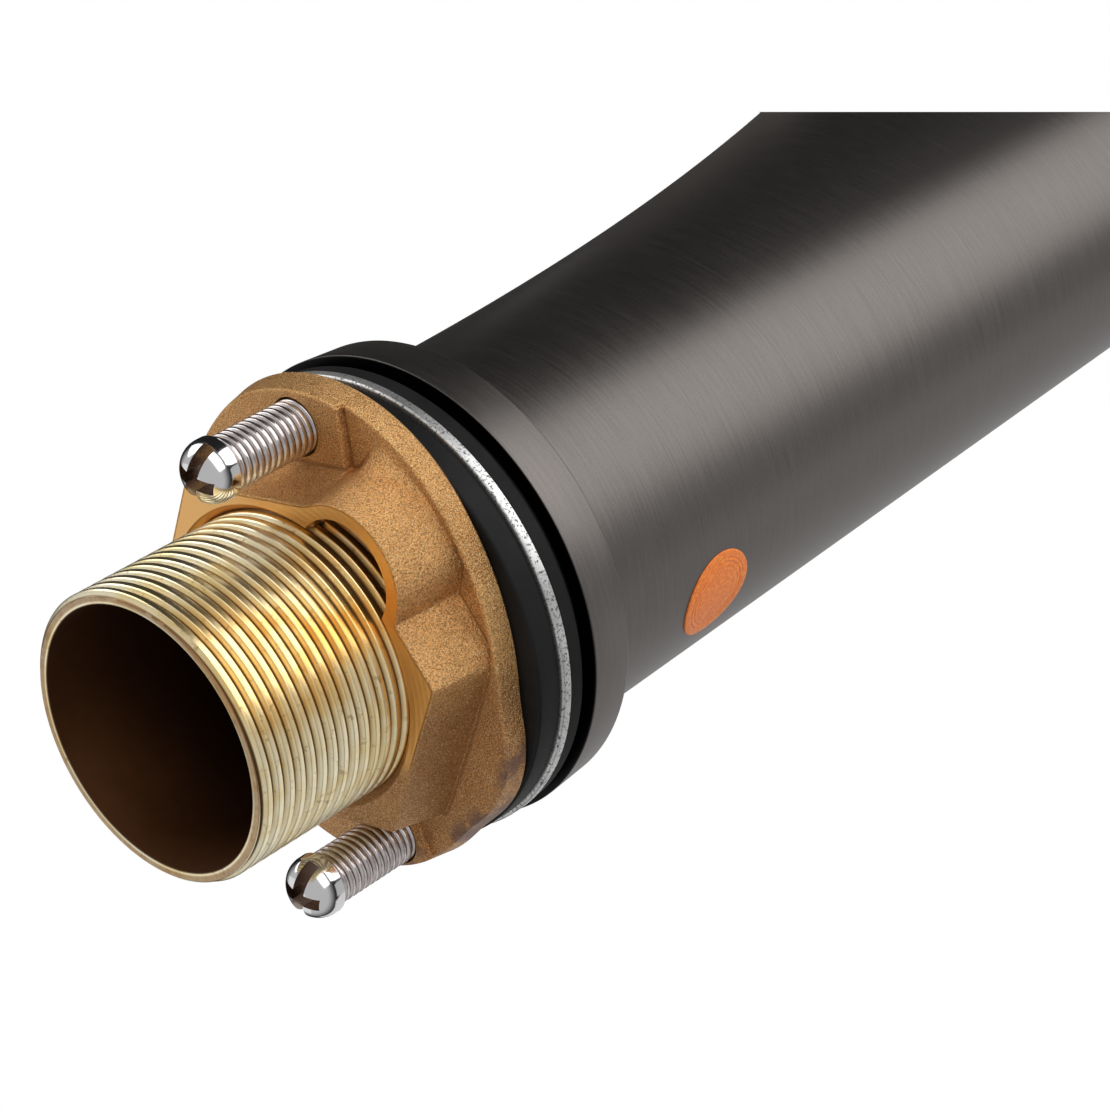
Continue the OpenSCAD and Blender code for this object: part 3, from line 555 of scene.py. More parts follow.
def tip_rows(t):
    """Round nose: the width follows a cosine, and the height the cosine to the power 0.45."""
    a = t * math.pi / 2
    y = -REACH - TIP_HALF * np.sin(a)
    mid, half = TIP_Z + TIP_H / 2, TIP_H / 2 * np.cos(a) ** 0.45
    return np.stack([y, mid - half, y, 0 * t + mid, y, mid + half, TIP_HALF * np.cos(a), 0 * t + 2.8], 1)


def eased(rows, width, low, high):
    """Running mean of the rows between two places, so that the stages meet without a kink."""
    kernel = np.hanning(2 * width + 1)
    kernel /= kernel.sum()
    padded = np.pad(rows, ((width, width), (0, 0)), mode="edge")
    mean = np.stack([np.convolve(padded[:, k], kernel, "valid") for k in range(rows.shape[1])], 1)
    share = hump(low, low + width, high - width, high, np.arange(len(rows))[:, None])
    return rows * (1 - share) + mean * share


def ramp(count):
    """Even steps from 0 to just before 1, where the next stage takes over."""
    return np.linspace(0, 1, count, endpoint=False)


near_tip = 1 - (1 - np.linspace(0, 0.985, 30)) ** 1.6
stages = [column_rows(ramp(48)), turn_rows(ramp(48)), swing_rows(ramp(44)), spout_rows(ramp(36))]
sections = eased(np.concatenate([*stages, tip_rows(near_tip)]), 7, 60, 170)
print("body sections", len(sections))


# %% [markdown]
# The rows become outlines, and the outlines a skin. A subdivided box could be pulled to this shape
# too, but outlines by formula keep every section smooth. The neck under the handle and the
# outlet's boss are turned pieces that stand in the skin.

# %% The body's casting
def section_points(rows, steps):
    """Outline of each section: centre + width |cos|^e to the side + (top or under - centre) |sin|^e."""
    a = circle(steps)
    e = 2 / rows[:, 7:8]
    side = np.sign(np.cos(a)) * np.abs(np.cos(a)) ** e
    up = (np.sign(np.sin(a)) * np.abs(np.sin(a)) ** e)[..., None]
    under, heart, top = rows[:, None, 0:2], rows[:, None, 2:4], rows[:, None, 4:6]
    yz = heart + np.where(up > 0, (top - heart) * up, (heart - under) * up)
    return np.concatenate([(rows[:, 6:7] * side)[..., None], yz], 2)


tap_body = make_piece("tap_body", *capped_tube(section_points(sections, 224)), "tap", ["body"])

NECK_Z, BOSS_IN, BOSS_OUT = 112, 12.05, 13.9
neck = [(0, NECK_Z), (back_r(NECK_Z) - 0.12, NECK_Z), (back_r(BODY_H) - 0.05, BODY_H)]
neck = softened(neck + [(12, BODY_H), (0, BODY_H)], [0, 0, 0.7, 0, 0], 6)
tap_neck = make_piece("tap_neck", *turned(neck, 224, close=False), "tap")
boss = [(BOSS_IN, SEAT_Z + 3), (BOSS_IN, SEAT_Z), (BOSS_OUT, SEAT_Z), (BOSS_OUT, SEAT_Z + 3)]
boss = softened(boss, [0, 0.1, 0.35, 0], 5)
tap_boss = make_piece("outlet_boss", *turned(boss, 128, (0, -REACH)), "tap")

# %% [markdown]
# The casting is hollow, and the hoses go up through the shank. The hollow is cut with turned
# shapes, so that the view from below looks into a real room with its two inlets. A second skin
# inside the first could make it too, but a cut closes the edges by itself.

# %% Cut the hollow
def carve(piece, tool, sharp=40):
    """Takes the tool's shape away from the piece, keeps the result in the mesh and drops the tool."""
    change = piece.modifiers.new("carve", "BOOLEAN")
    change.operation, change.solver, change.object = "DIFFERENCE", "EXACT", tool
    bpy.context.view_layer.update()
    shape = bpy.data.meshes.new_from_object(piece.evaluated_get(bpy.context.evaluated_depsgraph_get()))
    piece.modifiers.clear()
    piece.data = shape
    shape.set_sharp_from_angle(angle=math.radians(sharp))
    bpy.data.objects.remove(tool)


def cut(piece, profile, centre=(0, 0), steps=96, body="tap", sharp=40):
    """Carves a turned shape out of a piece."""
    carve(piece, make_piece("cutter", *turned(profile, steps, centre, close=False), body), sharp)


SHANK_R, INLET_R, INLET_X, INLET_Y = 16.05, 5, 6.6, -1.5
cut(tap_body, [(0, 5.5), (SHANK_R, 5.5), (SHANK_R, 21.0), (14, 21.02), (14, SOCKET_Z), (0, SOCKET_Z)])
for side in (-INLET_X, INLET_X):
    cut(tap_body, band(0, INLET_R, SOCKET_Z - 2, SOCKET_Z + 10), (side, INLET_Y), 48)
cut(tap_body, band(0, BOSS_IN, SEAT_Z - 2, SEAT_Z + 8), (0, -REACH), 128)
spigot = softened(band(SHANK_R, 19, 1.6, 7.4), [0.2, 0.3, 0, 0], 3)
body_spigot = make_piece("body_spigot", *turned(spigot, 160), "tap")
for piece in (tap_body, tap_neck, tap_boss, body_spigot):
    wear(piece, gunmetal)

# %% [markdown]
# ## The base ring and what lies under it
# These are all rings. Each is one profile, with the small round edges that catch the light,
# turned round the axis. A Bevel modifier would round all the edges alike, and here each corner has
# a radius of its own.

# %% Rings and washers
RING_R, RING_IN, RING_LOW, SEAL_IN, SEAL_OUT, SEAL_TOP = 26.2, 19.05, 1.2, 21.0, 24.2, 2.6
WASHER_IN, RUBBER_LOW, STEEL_LOW, SPACER_LOW = 16.6, -2.1, -3.3, -6.5


def ring_piece(name, corners, radius, body, node, paint):
    """One closed profile with soft corners, turned round the axis."""
    piece = make_piece(name, *turned(softened(corners, radius, 5), 288), body, [node])
    wear(piece, paint)
    return piece


collar = [(RING_IN, RING_LOW), (SEAL_IN, RING_LOW), (SEAL_IN, SEAL_TOP), (SEAL_OUT, SEAL_TOP)]
collar += [(SEAL_OUT, RING_LOW), (RING_R, RING_LOW), (RING_R - 0.45, RING_TOP), (RING_IN, RING_TOP)]
edges = [0.1, 0.15, 0, 0, 0.15, 0.2, 0.4, 0.1]
ring_piece("base_collar", collar, edges, "tap", "base_ring", gunmetal_ring)
seal, edges = band(SEAL_IN + 0.02, SEAL_OUT - 0.02, 0, SEAL_TOP - 0.02), [0.45, 0.45, 0.05, 0.05]
ring_piece("seal_ring", seal, edges, "tap", "base_seal", rubber)
soft, edges = band(WASHER_IN, 25.6, RUBBER_LOW, 0), [0.3, 0.35, 0.35, 0.3]
ring_piece("soft_washer", soft, edges, "washers", "rubber_washer", rubber)
thrust, edges = band(WASHER_IN, 25.8, STEEL_LOW, RUBBER_LOW), [0.15, 0.32, 0.12, 0.1]
ring_piece("thrust_washer", thrust, edges, "washers", "steel_washer", steel)
thick, edges = band(WASHER_IN, 25.4, SPACER_LOW, STEEL_LOW), [0.3, 0.4, 0.4, 0.3]
spacer = ring_piece("spacer", thick, edges, "nut", "spacer_ring", black_plastic)

# %% [markdown]
# ## Threads
# A thread is a ribbon that winds up the shank. Rows of the grid follow the groove, so that even a
# thin root stays sharp, and the ribbon is clipped at both ends. Where it is clipped, the points
# fall together and are merged. A Screw modifier could wind it too, but it leaves both ends open.

# %% A threaded skin
WHOLE_TURNS = 64.0


def threaded_skin(radius, pitch, depth, low, high, around, shape, below, above=None, soft=0.35, bevel=0.0):
    """Ribbon: angle = turns, height = (turns + phase) pitch, radius = crest radius - depth x shape(phase).

    below closes the skin from its low end and above from its high end; without above, one profile
    joins both. The whole turns keep every phase above 0.
    """
    phases = np.linspace(0, 1, 15)
    turns = np.arange(-1, (high - low) / pitch + 1.0001, 1 / around)
    t, p = np.meshgrid(turns, phases, indexing="ij")
    z = np.clip(low + (t + p) * pitch, low, high)
    sink = shape(((z - low) / pitch - t + WHOLE_TURNS) % 1.0)
    r = radius - depth * sink * (soft + (1 - soft) * smooth_step(0, 0.45 * pitch, z - low))
    r = r - bevel * (1 - smooth_step(0, 0.5, z - low))
    points = [polar(r, TAU * t, z)]
    faces = [grid_faces(len(turns), len(phases), False, False)]
    b = circle(around)

    def rim(level, keep, less):
        """Radius round a clipped end of the ribbon."""
        return radius - depth * shape(((level - low) / pitch - b / TAU + WHOLE_TURNS) % 1.0) * keep - less

    start, end = rim(low, soft, bevel), rim(high, 1.0, 0)
    chains = [(start, low, below, end if above is None else None)]
    if above is not None:
        chains.append((end, high, above, None))
    for first, level, profile, last in chains:
        profile = np.asarray(profile, float)
        rr = [first[None], np.repeat(profile[:, :1], around, 1)] + ([] if last is None else [last[None]])
        zz = np.concatenate([[level], profile[:, 1], [] if last is None else [high]])
        rr = np.concatenate(rr)
        faces.append(grid_faces(len(rr), around) + sum(map(len, points)))
        points.append(polar(rr, b, zz[:, None]))
    marks = np.zeros(sum(map(len, points)))
    marks[: sink.size] = sink.ravel()
    return np.vstack(points), np.vstack(faces), marks


def shank_groove(phase, half=0.55, flank=0.45, flat=0.88):
    """Flat root, straight flanks and a wide crest, bowed by the square of the distance from the root."""
    away = np.abs(((phase + 0.5) % 1.0) - 0.5) * 2
    return np.clip((half - away) / flank, 0, 1) * flat + (1 - flat) * (1 - away) ** 2


def screw_groove(phase):
    """The same with a wider groove and a rounder crest."""
    return shank_groove(phase, 0.6, 0.5, 0.8)


# %% [markdown]
# The shank is the ribbon outside and a plain bore inside. Its golden stripe is painted reflection,
# where the key light falls: a mark that is a bell curve of the angle, because a mark stays on the
# piece when the piece moves.

# %% The threaded shank
SHANK_LOW, SHANK_TOP, THREAD_R, PITCH, GROOVE = -36.0, -0.4, 16.0, 1.5, 0.56
KEY_REFLECTION_AT, KEY_REFLECTION_WIDE = 34, 26
bore_line = [(14.65, SHANK_LOW), (14.5, SHANK_LOW + 0.15), (14.5, 20.7), (14.8, 21.0)]
bore_line += [(15.2, 21.0), (15.2, SHANK_TOP)]
thread = THREAD_R, PITCH, GROOVE, SHANK_LOW, SHANK_TOP
v, f, groove = threaded_skin(*thread, 176, shank_groove, bore_line, bevel=0.5)
key_reflection = np.exp(-(((np.degrees(np.arctan2(v[:, 1], v[:, 0])) - KEY_REFLECTION_AT) / KEY_REFLECTION_WIDE) ** 2))
shank_pipe = make_piece("shank_pipe", v, f, "tap", ["shank"], 50, {"groove": groove, "key_reflection": key_reflection})
wear(shank_pipe, brass)

# %% [markdown]
# The two jack screws press the washers against the basin. Each has a fine thread and a domed head
# with a slot and a short cross, which are cut with boxes. A cut leaves sharp edges, so a small
# bevel follows. Two blind notches of the spacer ring take the screws' ends.

# %% Jack screws
NUT_TURN, JACK_AT, JACK_Z, HEAD_R, HEAD_H = -14.4, 23.2, -20.7, 3.4, 3.9
JACK_R, JACK_PITCH, JACK_GROOVE, JACK_TOP = 3.0, 0.85, 0.27, -7.0
FIRST_PAD, SECOND_PAD, NOTCH_R, HOLE_R = -7, 162, 3.1, 3.25


def jack_centre(turn):
    """Where a screw stands, for its turn from the nut's own direction."""
    a = math.radians(NUT_TURN + turn)
    return JACK_AT * math.cos(a), JACK_AT * math.sin(a)


def block(name, low, high, turn, centre):
    """A box turned about the upright axis and set at a centre, for cutting."""
    corners = [(x, y, z) for x in (low[0], high[0]) for y in (low[1], high[1]) for z in (low[2], high[2])]
    x, y, z = np.array(corners).T
    c, s = math.cos(math.radians(turn)), math.sin(math.radians(turn))
    points = np.stack([x * c - y * s + centre[0], x * s + y * c + centre[1], z], 1)
    sides = [(0, 1, 3, 2), (4, 6, 7, 5), (0, 4, 5, 1), (2, 3, 7, 6), (0, 2, 6, 4), (1, 5, 7, 3)]
    return make_piece(name, points, sides, "tap")


def jack(name, node, body, turn, slot_turn):
    """M6 thread, domed head, one slot across and a short cross; the slots keep a darker material, painted
    shade.
    """
    centre = jack_centre(turn)
    bend = np.linspace(0, 0.97 * math.pi / 2, 18)
    dome = np.stack([HEAD_R * np.cos(bend) ** 0.9, JACK_Z - 1.0 - (HEAD_H - 1.0) * np.sin(bend)], 1)
    head = [(HEAD_R - 0.3, JACK_Z), (HEAD_R, JACK_Z - 0.3), *dome.tolist(), (0, JACK_Z - HEAD_H)]
    end = [(2.3, SPACER_LOW), (0, SPACER_LOW)]
    thread = JACK_R, JACK_PITCH, JACK_GROOVE, JACK_Z, JACK_TOP
    v, f, groove = threaded_skin(*thread, 72, screw_groove, head, end, 0.9)
    piece = make_piece(name, v + np.array([*centre, 0]), f, body, [node], 42, {"groove": groove})
    wear(piece, chrome)
    piece.data.materials.append(shaded_slot_chrome.material)
    low = JACK_Z - HEAD_H - 1
    slot = block("slot_cut", (-5, -0.75, low), (5, 0.75, low + 3.3), slot_turn, centre)
    cross = block("cross_cut", (-0.7, -2.4, low), (0.7, 2.4, low + 3.0), slot_turn, centre)
    for cutter in (slot, cross):
        cutter.data.polygons.foreach_set("material_index", [1] * len(cutter.data.polygons))
        carve(piece, cutter)
    soft = piece.modifiers.new("edges", "BEVEL")
    soft.width, soft.segments, soft.angle_limit, soft.harden_normals = 0.00010, 2, math.radians(50), False


jack("jack_a_screw", "jack_screw_1", "jack_a", FIRST_PAD, -1)
jack("jack_b_screw", "jack_screw_2", "jack_b", SECOND_PAD, -5)
for turn in (FIRST_PAD, SECOND_PAD):
    cut(spacer, band(0, NOTCH_R, -7, -3.4), jack_centre(turn), 64)

# %% [markdown]
# ## The cast nut
# One polar grid makes the whole nut. Each row is a line round it, and its radius and height depend on
# the angle: the bore with the pocket beside it, the hexagon with the pocket's wall, the flange's
# oval outline made of four arcs, and the raised pads round the two screws. Cylinders could be
# joined and cut instead, but a casting has no hard edges, and on one grid all of it blends.

# %% Outlines of the nut
NUT_Z, FLANGE_Z, FLANGE_TOP, PAD_RISE, PAD_HALF, DIP = -16.3, -9.25, -6.5, 0.95, 6.35, 0.5
BORE_R, BORE_MOUTH, HEX_HALF, HEX_TURN = 16.05, 16.9, 18.0, 10
POCKET_AT, POCKET_TURN, POCKET_R, POCKET_WALL = 15.4, 34.4, 6.0, 7.65
END_X, END_R, SIDE_Y, SIDE_R, SIDE_FROM = 7.8, 20.0, 8.64, 31.64, 35.0
BULGE_AT, BULGE_TURN, BULGE_R = 11.3, 122.4, 14.0
LEDGE_AT, LEDGE_TURN, LEDGE_HALF = 22.55, 56.3, 0.15
theta = circle(1260)
azimuth = np.degrees(theta)
nut_angle = azimuth - NUT_TURN


def apart(a, b):
    """Angle between two directions in degrees, from -180 to 180."""
    return (a - b + 180) % 360 - 180


def far_hit(distance, radius, angle):
    """Where a ray at that angle from the circle's direction leaves the circle; 0 where it misses."""
    a = np.radians(angle)
    inside = radius ** 2 - (distance * np.sin(a)) ** 2
    hit = distance * np.cos(a) + np.sqrt(np.clip(inside, 0, None))
    return np.where((inside > 0) & (np.cos(a) > 0), hit, 0)


def soft_most(a, b, power):
    """The larger of two lengths, with the corner between them rounded."""
    top = np.maximum(a, b)
    return top * ((a / top) ** power + (b / top) ** power) ** (1 / power)


relief = apart(nut_angle, POCKET_TURN)
bore = soft_most(far_hit(POCKET_AT, POCKET_R, relief), BORE_R + 0 * theta, 160)
flats = np.radians(nut_angle[:, None] + HEX_TURN - 60 * np.arange(6))
hexagon = HEX_HALF / (np.clip(np.cos(flats), 0, None) ** 150).sum(1) ** (1 / 150)
hub = soft_most(far_hit(POCKET_AT, POCKET_WALL, relief), hexagon, 90)

fold = np.abs((nut_angle + 90) % 180 - 90)
ends = far_hit(END_X, END_R, fold)
sides = -SIDE_Y * np.sin(np.radians(fold)) + np.sqrt(SIDE_R ** 2 - (SIDE_Y * np.cos(np.radians(fold))) ** 2)
outline = np.where(fold < SIDE_FROM, ends, sides)
outline = soft_most(far_hit(BULGE_AT, BULGE_R, apart(nut_angle, BULGE_TURN)), outline, 60)

dip = hump(30, 36, 61, 66, azimuth)
ledge = LEDGE_AT / np.clip(np.cos(np.radians(azimuth - LEDGE_TURN)), 0.75, 1)
lobe = hump(-21.0, -16.5, 12, 20, relief)
root = np.minimum(hub + 1.2 + 0.6 * dip, outline - 1.4)
foot = np.clip(outline - 1.35 - root, 0.04, 0.3 + 2.8 * lobe)
ledge = np.clip(ledge, root + foot + 0.2, outline - 1.1)
print("nut reaches", outline.max().round(2), "mm")


# %% [markdown]
# The flange's face isn't flat. Its level is a function of the radius at every angle, so the same
# rows carry the pads, the dip beside the pocket and the round casting edges. The rows also
# collect the marks for the finish: where the face is turned, and where shade is painted, in the
# creases and on the first pad's side wall.

# %% The nut's skin
HUB_EDGE, SHOULDER, ROUND = 0.25, 0.8, 0.35
rows, flat_mark, recess_shade_mark = [], [], []
shown = smooth_step(108, 92, azimuth) + smooth_step(270, 285, azimuth)


def beside_pad(radius):
    """Distance past the first pad's straight side: radius x sine of the angle, less half its width."""
    return radius * np.sin(np.radians(np.clip(apart(nut_angle, FIRST_PAD), -90, 90))) - PAD_HALF


def pad_wall(radius):
    """1 on the side wall of the first pad, where shade is painted, and 0 elsewhere."""
    past = beside_pad(radius)
    near = abs(apart(nut_angle, FIRST_PAD)) < 60
    return hump(0.05, 0.18, 0.3, 0.6, past) * near


def face(radius):
    """Level of the flange's face: two raised pads, and a dip beside the pocket up to a straight ledge."""
    first, second = apart(nut_angle, FIRST_PAD), apart(nut_angle, SECOND_PAD)
    pads = (1 - smooth_step(0, 0.2, beside_pad(radius))) * smooth_step(-16, -14.5, first)
    pads = np.maximum(pads, hump(-9.0, -8.2, 13, 14.3, second))
    sunk = dip * (1 - smooth_step(ledge - LEDGE_HALF, ledge + LEDGE_HALF, radius))
    return FLANGE_Z - PAD_RISE * pads + DIP * sunk


def row(radius, level, turned_face=0.0, recess_shade=0.0):
    """Adds one line round the nut; the turned face is smooth only on the side that the tool reached."""
    rows.append(np.stack([radius + 0 * theta, level + 0 * theta], 1))
    flat_mark.append(turned_face * shown)
    recess_shade_mark.append(recess_shade + 0 * theta)


mouth = np.maximum(bore, BORE_MOUTH)
row(bore, FLANGE_TOP, 1)
row(bore, NUT_Z + 0.85, 1)
row(mouth, NUT_Z, 1)
row(np.maximum(mouth + 0.12, hub - 0.35), NUT_Z, 1)
for a in np.linspace(0, math.pi / 2, 6)[1:]:
    r = np.maximum(mouth + 0.14, hub - HUB_EDGE * (1 - math.sin(a)))
    row(r, NUT_Z + HUB_EDGE * (1 - math.cos(a)))
wall_low, wall_high = NUT_Z + HUB_EDGE, FLANGE_Z - foot
for share in (0.4, 0.8):
    row(hub + (root - hub) * share, wall_low + (wall_high - wall_low) * share)
# The last value of each row is painted shade: a dark line in the crease at the hub wall's foot, then the
# first pad's side wall and the crease along the ledge.
for a in np.linspace(0, math.pi / 2, 9):
    r = root + foot * (1 - math.cos(a))
    row(r, face(r) - foot * (1 - math.sin(a)), recess_shade=(1 - lobe) * smooth_step(0.5, 0.9, a) * 0.8)
for share in np.linspace(0.06, 1, 17):
    r = (root + foot) * (1 - share) + (ledge - LEDGE_HALF) * share
    row(r, face(r), recess_shade=np.maximum(pad_wall(r), dip if share == 1.0 else 0))
for share in (0.0, 0.5, 1.0):
    r = (ledge + LEDGE_HALF) * (1 - share) + (outline - SHOULDER) * share
    row(r, face(r), recess_shade=pad_wall(r))
for a in np.linspace(0, math.pi / 2, 6)[1:]:
    row(outline - SHOULDER + ROUND * math.sin(a), face(outline) + ROUND * (1 - math.cos(a)))
row(outline, FLANGE_TOP - ROUND)
row(outline - 0.3, FLANGE_TOP)
radii, levels = np.moveaxis(np.stack(rows), -1, 0)
points = polar(radii, theta, levels)
tarnish = smooth_step(22.6, 24.6, radii) * hump(55, 68, 150, 175, azimuth)
# Painted shade: a mark over the side of the nut away from the key light, which darkens it.
side_shade = np.tile(hump(58, 84, 175, 205, azimuth), len(rows))
marks = {"turned": flat_mark, "tarnish": tarnish, "side_shade": side_shade, "recess_shade": recess_shade_mark}
faces = grid_faces(len(rows), len(theta), True)
cast_nut = make_piece("cast_nut", points, faces, "nut", ["flange_nut"], 34, marks)
for turn in (FIRST_PAD, SECOND_PAD):
    cut(cast_nut, band(0, HOLE_R, -12, -5), jack_centre(turn), 64, "nut", 34)
wear(cast_nut, bronze)

# %% [markdown]
# ## The lever and its cap
# The handle is a hub with a slanting skirt and a hollow bowl that rides over the ball cap. Its rows
# go from the bowl's pole round the skirt's edge to the middle of the top. It isn't turned, because
# the skirt slants: each row has heights of its own round the axis.

# %% The handle's hub
PIVOT_Z, HUB_R, HUB_TOP, BOWL_R = BODY_H - 6.5, 18.2, BODY_H + 22.5, 17.2
TILT, SKIRT_Z, LOW_EDGE, TOP_EDGE = math.tan(math.radians(9.05)), BODY_H + 5.1, 0.5, 1.6
a = circle(256)
delta, span = np.arctan(TILT * np.sin(a)), np.sqrt(1 + (TILT * np.sin(a)) ** 2)
mouth = np.arccos((SKIRT_Z - PIVOT_Z) / BOWL_R / span) - delta


def skirt(r):
    """Height of the skirt's slanting lower face at a radius."""
    return SKIRT_Z + TILT * r * np.sin(a)


rows = []
for share in np.linspace(0, 1, 18):
    rows.append((BOWL_R * np.sin(mouth * share), PIVOT_Z + BOWL_R * np.cos(mouth * share)))
inner, outer = rows[-1][0] + 0.3, HUB_R - LOW_EDGE + 0 * a
rows += [(inner, skirt(inner)), (outer, skirt(outer))]
for bend in np.linspace(0, math.pi / 2, 5)[1:]:
    rows.append((outer + LOW_EDGE * math.sin(bend), skirt(HUB_R) + LOW_EDGE * (1 - math.cos(bend))))
for bend in np.linspace(0, math.pi / 2, 9):
    r = HUB_R - TOP_EDGE * (1 - math.cos(bend)) + 0 * a
    rows.append((r, HUB_TOP - TOP_EDGE * (1 - math.sin(bend)) + 0 * a))
rows.append((0 * a, HUB_TOP + 0 * a))
rows = np.array(rows)
points = polar(rows[:, 0], a, rows[:, 1])
handle_hub = make_piece("handle_hub", points, grid_faces(len(rows), len(a)), "lever", ["handle"], 35)
wear(handle_hub, gunmetal)

# %% [markdown]
# The lever grows out of the hub. It is a flat bar with full round edges, thinner and narrower
# towards its end. A bevelled box comes close, but its edges wouldn't taper with it.

# %% The lever bar
LEVER_L, LEVER_FROM, NOSE, RISE, BAR_Z = 92.0, 6, 2.2, math.radians(9.0), HUB_TOP - 5.2
straight = LEVER_L - NOSE
nose = straight + NOSE * np.sin(np.linspace(0, math.pi / 2, 9))[1:]
along = np.concatenate([np.linspace(LEVER_FROM, straight, 40), nose])[:, None]
share = np.clip((along - LEVER_FROM) / (straight - LEVER_FROM), 0, 1)
past = np.clip((along - straight) / NOSE, 0, 1)
thick = 3.4 - 1.2 * share
core = 7.5 - 2.0 * share - thick
thick = thick * np.sqrt(1 - past ** 2)
turn = circle(96)
side = np.sign(np.cos(turn)) * core + thick * np.cos(turn)
up = thick * np.sin(turn)
forward = along + 0 * up
y = up * math.sin(RISE) - forward * math.cos(RISE)
z = BAR_Z + forward * math.sin(RISE) + up * math.cos(RISE)
lever_bar = make_piece("lever_bar", *capped_tube(np.stack([side, y, z], -1)), "lever", [], 35)
wear(lever_bar, gunmetal_lever)

# %% [markdown]
# The cap is a zone of a ball about the pivot, so the bowl tips over it with an even gap. The
# outlet's rim is turned too.

# %% The ball cap and the outlet
CAP_OUT, CAP_IN, CAP_HOLE, CAP_FOOT = 16.8, 15.6, 10.6, 6.5


def ball_arc(radius):
    """Profile of a ball about the pivot, from the cap's foot to its hole."""
    bend = np.linspace(math.acos(CAP_FOOT / radius), math.asin(CAP_HOLE / radius) + 0.02, 20)
    return np.stack([radius * np.sin(bend), PIVOT_Z + radius * np.cos(bend)], 1).tolist()


outer, inner = ball_arc(CAP_OUT), ball_arc(CAP_IN)[::-1]
hole = [(CAP_HOLE, outer[-1][1] - 0.15), (CAP_HOLE, inner[0][1] + 0.15)]
dome = make_piece("dome_cap", *turned(outer + hole + inner, 224), "tap", ["ball_cap"])
wear(dome, gunmetal)
rim = [(9.3, -1.5), (13.0, -1.5), (13.4, 0), (12.0, 0), (12.0, 7.3), (10.5, 7.3), (10.5, 0), (9.3, 0)]
rim = softened(rim, [0.25, 0.35, 0.2, 0, 0, 0, 0, 0.2], 5) + np.array([0, SEAT_Z])
outlet_rim = make_piece("outlet_rim", *turned(rim, 160, (0, -REACH)), "tap", ["aerator_housing"])
wear(outlet_rim, gunmetal_ring)

# %% [markdown]
# ## The sticker
# A small round label of orange foil sits on the back of the column. It is a polar grid laid over
# the back's cone, and its embossed rings are a ripple of its thickness. A disc with a Shrinkwrap
# modifier would follow the cone too, but its rim wouldn't go down into the body.

# %% The sticker's skin
edge_steps = [STICKER_R - 0.1, STICKER_R - 0.02, STICKER_R, STICKER_R, STICKER_R - 0.3, 0]
reach = np.concatenate([[0], np.linspace(0.2, STICKER_R - 0.2, 76), edge_steps])
lift = np.full(len(reach), 0.17)
lift += 0.025 * np.sin(reach * 11.0) * hump(2.9, 3.2, 4.5, 4.8, reach)
lift[-6:] = [0.16, 0.13, 0.09, -0.03, -0.05, -0.05]
turn = circle(128)
x, z = reach[:, None] * np.cos(turn), STICKER_Z + reach[:, None] * np.sin(turn)
radius = back_r(z) + lift[:, None]
points = np.stack([x, np.sqrt(radius ** 2 - x ** 2), z], -1).reshape(-1, 3)
label = make_piece("round_sticker", points, grid_faces(len(reach), 128), "tap", ["inspection_sticker"], 60)
wear(label, foil)

# %% [markdown]
# ## The pieces inside
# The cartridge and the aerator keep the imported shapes, which are exact and mostly out of sight.
# They take the material of their slot, so that they look right when the tap is opened.

# %% Materials for the kept nodes
finishes = dict(
    gunmetal=gunmetal, bronze=bronze, brass=brass, steel=steel, chrome=chrome, black_rubber=rubber,
    black_plastic=black_plastic, white_plastic=white_plastic, disc_ceramic=ceramic, sticker=foil)
for name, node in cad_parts.items():
    if node.hide_render:
        continue
    slot = node.material_slots[0].material.name.split(".")[0] if node.material_slots else "steel"
    for holder in node.material_slots:
        holder.material = finishes.get(slot, steel).material
    print("kept", name, slot)

# %% [markdown]
# ## Camera, floor and light
# The camera looks up at the foot of the tap. It could be set by eye, but round parts at a slant
# show as ellipses, and these fix it: its place and its three axes were solved from them.

# %% Camera
def facing(across, up, back, place):
    """World matrix of something at a place whose x, y and z axes point in those directions."""
    return Matrix.Translation(place) @ Matrix((across, up, back)).transposed().to_4x4()


right, up = Vector((0.1523, 0.7391, 0.6562)), Vector((0.7677, -0.5066, 0.3924))
back, eye = Vector((0.6224, 0.4439, -0.6446)), Vector((0.2356, 0.1741, -0.2258))
lens = bpy.data.cameras.new("photo_camera")
lens.lens, lens.sensor_width, lens.clip_start = 114.45, 36, 0.001
camera = placed("photo_camera", lens)
camera.matrix_world = facing(right, up, back, eye)
bpy.context.scene.camera = camera
print("camera at", eye)

# %% [markdown]
# The photograph is blank above a straight line, where its picture was cut and set on white. A white
# card a few millimetres before the lens does the same here, because the frame itself can't be
# cropped. Only the camera sees the card, so it takes no light away.

# %% The card before the lens
def stage_face(name, corners, paint):
    """One flat face from its corners in metres, which shows in no reflection and casts no shadow."""
    mesh = bpy.data.meshes.new(name)
    mesh.from_pydata(corners, [], [list(range(len(corners)))])
    mesh.materials.append(paint.material)
    paint.material.cycles.emission_sampling = "NONE"
    piece = placed(name, mesh)
    piece.visible_glossy = piece.visible_diffuse = piece.visible_shadow = False
    return piece


CARD_AT, IMAGE, BLANK = 0.003, 1110, 112
half = CARD_AT * lens.sensor_width / lens.lens / 2
line, far = half * (1 - 2 * BLANK / IMAGE), 1.2 * half
corners = [(-far, line), (far, line), (far, far), (-far, far)]
blank = Paint("blank_white", Base_Color=(0, 0, 0), Roughness=1.0, Specular_IOR_Level=0.0)
blank.feed(Emission_Color=(1, 1, 1), Emission_Strength=1.0)
corners = [tuple(camera.matrix_world @ Vector((x, y, -CARD_AT))) for x, y in corners]
card = stage_face("blank_card", corners, blank)
card.visible_transmission = False

# %% [markdown]
# The tap stands on a pale floor. The photograph looks up at it from below, so the floor shows only
# from above, and it lets the light of the low soft boxes through. Its paleness is partly its own,
# which only the camera sees, and the rest is light on it, so that it keeps the tap's shadow.

